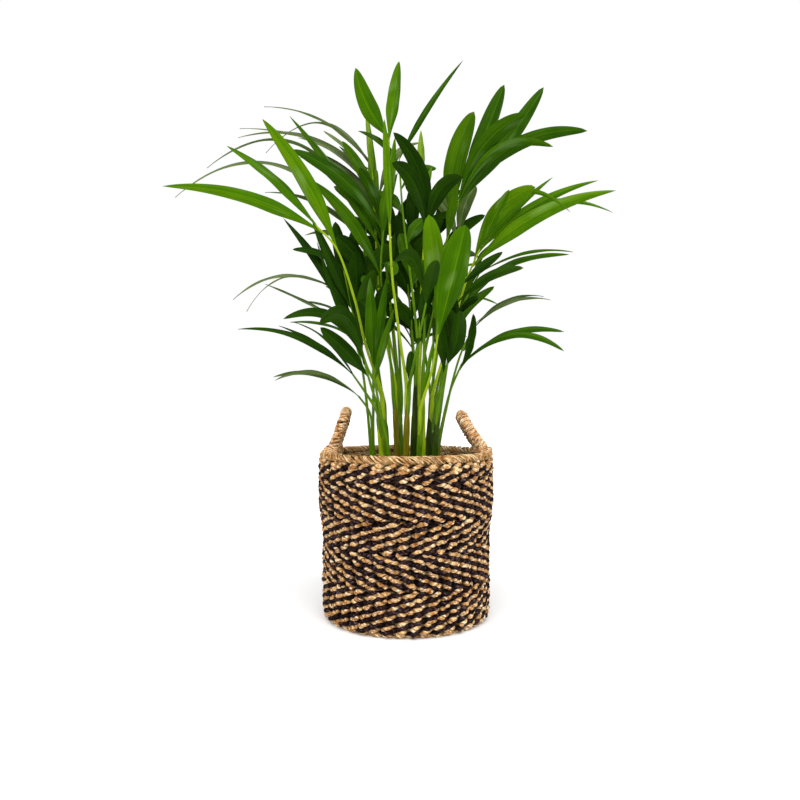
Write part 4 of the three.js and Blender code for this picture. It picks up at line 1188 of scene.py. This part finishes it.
def back_frond(index):
    """A frond that leans to the back: pairs of leaflets swung out from its midrib."""
    letter = BACK.canes[index]
    fork = CANES[letter].path.at(1.0)
    azimuth = math.radians(mix(BACK.azimuth, index / (BACK.count - 1)))
    outward = outwards_at(azimuth)
    end = outward * alternate(BACK.reach, index) + UP * alternate(BACK.height, index)
    knee = (fork + end) / 2 + UP * BACK.knee_rise * np.linalg.norm(end - fork)
    face = unit(UP + outward * BACK.facing)

    def leaflets(path):
        made = []
        for part in shares(BACK.pairs - 1):
            swing = math.radians(mix(BACK.swing, part))
            length = mix(BACK.blade_length, part)
            for side in (-1, 1):
                along = mix(BACK.along, part) + side * BACK.stagger
                root, ahead = path.at(along), path.tangent(along)
                across = unit(np.cross(ahead, face))
                heading = ahead * math.cos(swing) + across * side * math.sin(swing)
                tip = root + heading * length - UP * BACK.fall * length
                tips = [tip + outward * step for step in DEPTH_STEPS]
                own_face = rolled(face, ahead, root, tip)
                made.append(Settings(root=root, tips=tips, width=BACK.width, bow=BACK.bow, face=own_face))
        return made

    name, tone = f"frond_back_{index + 1}", alternate(BACK.tones, index)
    return Settings(name=name, cane=letter, tone=tone, route=[knee, end], leaflets=leaflets)


def seat_fronds(fronds, cane):
    """Seats share the fork evenly, in the order in which the fronds lean away."""
    fork = cane.path.at(1.0)

    def lean(frond):
        away = frond.route[0] - fork
        return math.atan2(away[1], away[0])

    in_order = sorted(fronds, key=lean)
    apart = TURN / max(len(in_order), 1)
    turns = [lean(frond) - index * apart for index, frond in enumerate(in_order)]
    start = math.atan2(sum(math.sin(turn) for turn in turns), sum(math.cos(turn) for turn in turns))
    for index, frond in enumerate(in_order):
        frond.path = stalk_path(cane, start + index * apart, len(in_order), frond.route)


def clear_tip(node_points, tips):
    """The one of the possible tips that the solid frond has, or none."""
    for tip in tips:
        if np.min(np.linalg.norm(node_points - tip, axis=1)) < TIP_FOUND:
            return tip
    return None


def blade_outline(share, full):
    """Half width along a blade as a share of its greatest. full is 0 for a blade that
    tapers from its lower part to a long point, and 1 for one that ends bluntly."""
    widest = mix(LEAF.widest, full)
    rise = mix((LEAF.root_share, 1), smooth(share, 0, widest))
    part = np.clip((share - widest) / (1 - widest), 0, 1)
    fall = (1 - part ** mix(LEAF.fullness, full)) ** mix(LEAF.point, full)
    return np.where(share < widest, rise, fall)


def blade_frames(tangents, ahead, square, face):
    """Directions across a blade and out of its upper face. They keep their angle to the
    plane of the arch, so that the blade bends without a twist."""
    pole = np.cross(ahead, square)
    level = unit(np.cross(face, ahead))
    lean = math.atan2(level @ square, level @ pole)
    side = pole * math.cos(lean) + unit(np.cross(pole, tangents)) * math.sin(lean)
    return side, unit(np.cross(tangents, side))


def add_leaflet(skin, leaflet, tip, full, number, random):
    """A leaflet: a thin shell with a ridge along its middle and a little twist."""
    chord = tip - leaflet.root
    length = np.linalg.norm(chord)
    ahead = chord / length
    square = unit(UP - ahead * (UP @ ahead))
    # The higher the arch, the nearer its top is to the tip
    along = BLADE.crown + BLADE.hang * abs(leaflet.bow)
    crown = leaflet.root + chord * along + square * 2 * leaflet.bow * length
    share = shares(LEAF.steps) ** LEAF.crowding
    centres = bezier(leaflet.root, crown, tip)(share)
    tangents = unit(np.gradient(centres, axis=0))
    side, upper = blade_frames(tangents, ahead, square, leaflet.face)
    twist = math.radians(random.uniform(-1, 1) * LEAF.twist) * share ** LEAF.twist_late
    cosine, sine = np.cos(twist)[:, None], np.sin(twist)[:, None]
    side, upper = side * cosine + upper * sine, upper * cosine - side * sine
    if full is None:
        full = smooth(leaflet.width / length, *LEAF.slender)
    half = leaflet.width / 2 * blade_outline(share, full)
    half[-1] = LEAF.end
    across = np.array(LEAF.across)
    off_middle = np.abs(across)
    sag = -np.outer(mix(LEAF.ridge, smooth(share, 0, LEAF.ridge_to)) * half, off_middle)
    sag = sag + np.outer(LEAF.belly * half, np.sin(math.pi * off_middle))
    waves = random.uniform(*LEAF.ripples)
    beat = np.sin(TURN * (waves * share + random.uniform(0, 1))) * np.sin(math.pi * share)
    sag = sag + np.outer(LEAF.ripple * beat, off_middle ** 2 * np.sign(across))
    sag = sag + np.outer(LEAF.midrib * (1 - share), np.exp(-(across / LEAF.midrib_width) ** 2))
    thick = LEAF.thick[0] + LEAF.thick[1] * (1 - off_middle)
    flat = centres[:, None] + side[:, None] * (half[:, None] * across)[..., None]
    top = flat + upper[:, None] * sag[..., None]
    under = flat + upper[:, None] * (sag - thick)[..., None]
    points = np.concatenate([top[:, ::-1], under], axis=1)
    us = (1 + np.concatenate([across[::-1], across, across[-1:]])) / 2
    # The whole part of v is the number of the leaflet
    skin.tube(points, us, number + LEAF.margin + share * (1 - 2 * LEAF.margin))


def add_stalk(skin, frond, cane, number):
    """A stalk that parts from its cane as a sheath and thins to a grooved midrib."""
    share = shares(STALK.steps)
    centres = frond.path.at(share)
    # Below the fork the stalk leaves the middle of its cane little by little
    below = np.linspace(-STALK.below, 0, STALK.lead_steps, endpoint=False)
    inside = cane.path.at(1 + below / cane.path.length)
    aside = centres[0] - cane.path.at(1.0)
    leaving = smooth(below, -STALK.below, 0)[:, None]
    centres = np.vstack([inside + aside * leaving, centres])
    tangents = unit(np.gradient(centres, axis=0))
    distance = np.concatenate([below, share * frond.path.length])
    radius = STALK.round * mix((STALK.foot, STALK.end), np.clip(distance / frond.path.length, 0, 1))
    flare = smooth(distance, -STALK.below, 0) * (1 - smooth(distance, 0, STALK.sheath))
    radius = radius + (cane.radius[1] * STALK.flare - STALK.foot) * flare
    radius[-1] *= STALK.tip
    normals = squared(FRONT, tangents)
    ribs = 1 + STALK.rib_depth * np.cos(STALK.ribs * turns_of(STALK.sides) + number)
    vs = number * STALK.pattern + distance / STEM_UNIT
    skin.strand(centres, normals, np.cross(tangents, normals), radius[:, None] * ribs, vs)


def add_cane(skin, cane, random):
    """A cane with ribs along it and the edge of a sheath part of the way up."""
    share = shares(CANE.steps)
    centres = cane.path.at(share)
    centres[0] -= UP * CANE.sink
    tangents = cane.path.tangent(share)
    normals = squared(FRONT, tangents)
    angles = turns_of(CANE.sides)
    shift = random.uniform(0, TURN)
    edge = random.uniform(*CANE.sheath_ends) + CANE.edge_wave * np.cos(angles + shift)
    sheath = CANE.sheath * (1 - smooth(share[:, None], edge - CANE.edge, edge + CANE.edge))
    ribs = 1 + CANE.rib_depth * np.cos(CANE.ribs * angles + shift)
    swell = CANE.swell * np.sin(TURN * (share * CANE.swells + random.uniform(0, 1)))
    foot = CANE.foot * (1 - smooth(share, 0, CANE.foot_share))
    radii = (mix(cane.radius, share) + swell + foot)[:, None] * ribs + sheath
    radii = radii * (1 - CANE.narrow * smooth(share, CANE.narrow_from, 1))[:, None]
    vs = random.uniform(0, CANE.pattern) + share * cane.path.length / STEM_UNIT
    skin.strand(centres, normals, np.cross(tangents, normals), radii, vs)


class Kinds:
    """Skins and the nodes that they stand for, apart by tone."""

    def __init__(self):
        self.skins = {}
        self.nodes = {}

    def skin(self, tone):
        return self.skins.setdefault(tone, Skin())

    def note(self, tone, node):
        self.nodes.setdefault(tone, []).append(node)

    def add_pieces(self, prefix, materials, slots, sharp=50):
        for tone, skin in self.skins.items():
            add_piece(f"{prefix}_{tone}", skin, materials[tone], self.nodes[tone], sharp)


def build_palm(leaves, stems):
    random = np.random.default_rng(5)
    canes, stalks, leaflets = Kinds(), Kinds(), Kinds()
    for letter, cane in CANES.items():
        cane.path = cane_path(cane)
        add_cane(canes.skin(cane.tone), cane, random)
        canes.note(cane.tone, f"cane_{letter}")
    fronds = [measured_frond(*row) for row in FRONDS]
    fronds += [back_frond(index) for index in range(BACK.count)]
    for letter, cane in CANES.items():
        seat_fronds([frond for frond in fronds if frond.cane == letter], cane)
    number = 0
    for index, frond in enumerate(fronds):
        stalk_tone = STALK_TONES[frond.tone]
        add_stalk(stalks.skin(stalk_tone), frond, CANES[frond.cane], index)
        stalks.note(stalk_tone, frond.name)
        leaflets.note(frond.tone, frond.name)
        vertices = bpy.data.objects[frond.name].data.vertices
        node_points = np.array([vertex.co for vertex in vertices]) / MM
        for leaflet in frond.leaflets(frond.path):
            tip = clear_tip(node_points, leaflet.tips)
            if tip is None:
                continue
            full = OUTLINES.get(frond.name)
            add_leaflet(leaflets.skin(frond.tone), leaflet, tip, full, number, random)
            number += 1
    cane_slots = {tone: "cane" for tone in CANE_TONES}
    leaf_slots = {tone: f"leaf_{tone}" for tone in LEAF_TONES} | {"spear": "spear"}
    canes.add_pieces("canes", stems, cane_slots)
    stalks.add_pieces("stalks", stems, cane_slots)
    leaflets.add_pieces("leaflets", leaves, leaf_slots, sharp=60)


# Studio


def build_floor():
    floor = Skin()
    size = np.linspace(-FLOOR.reach, FLOOR.reach, FLOOR.lines)
    x, y = np.meshgrid(size, size)
    lines = np.arange(FLOOR.lines)
    floor.grid(np.stack([x, y, np.zeros_like(x)], axis=-1), lines, lines, False)
    mesh = floor.mesh("studio_floor")
    mesh.materials.append(floor_material())
    plane = add_object("studio_floor", mesh)


def build_sky():
    """White where the camera sees it, and weaker as a light."""
    world = bpy.data.worlds.new("studio")
    bpy.context.scene.world = world
    world.use_nodes = True
    tree = world.node_tree
    background = tree.nodes["Background"]
    background.inputs["Color"].default_value = (1, 1, 1, 1)
    rays = tree.nodes.new("ShaderNodeLightPath")
    strength = tree.nodes.new("ShaderNodeMapRange")
    strength.inputs[3].default_value = SKY.light
    strength.inputs[4].default_value = SKY.seen
    tree.links.new(rays.outputs["Is Camera Ray"], strength.inputs[0])
    tree.links.new(strength.outputs[0], background.inputs["Strength"])


def build_light_and_camera():
    lamp = bpy.data.lights.new("key", "SUN")
    lamp.energy = SUN.strength
    lamp.angle = math.radians(SUN.angle)
    key = add_object("key", lamp)
    key.rotation_euler = [math.radians(value) for value in SUN.turn]

    lens = bpy.data.cameras.new("photo_view")
    lens.lens = CAMERA.lens
    lens.sensor_width = CAMERA.sensor
    camera = add_object("photo_view", lens)
    camera.location = CAMERA.place
    camera.rotation_euler = (math.pi / 2, 0, 0)
    bpy.context.scene.camera = camera
    bpy.context.scene.view_settings.view_transform = "Standard"


build_floor()
build_sky()
build_light_and_camera()
leaves = {tone: leaf_material(f"leaf_{tone}", colours) for tone, colours in LEAF_TONES.items()}
stems = {tone: cane_material(f"cane_{tone}", colours) for tone, colours in CANE_TONES.items()}
grass = {tone: grass_material(f"grass_{tone}", colours) for tone, colours in GRASS_TONES.items()}
build_wall(grass)
# The core stands for the stakes and floor, in the dark grass; where it shows in the gaps between stitches
# it also stands in for their shade, as painted shade
build_core(grass["dark"])
build_lining(grass["lining"])
build_underside(grass["rope"])
build_rim(grass["rope"])
for handle in HANDLES:
    build_handle(handle, grass["handle"])
build_stray_fibres(grass["rope"])
build_pot(plastic_material())
build_soil(soil_material(), bark_material())
build_palm(leaves, stems)
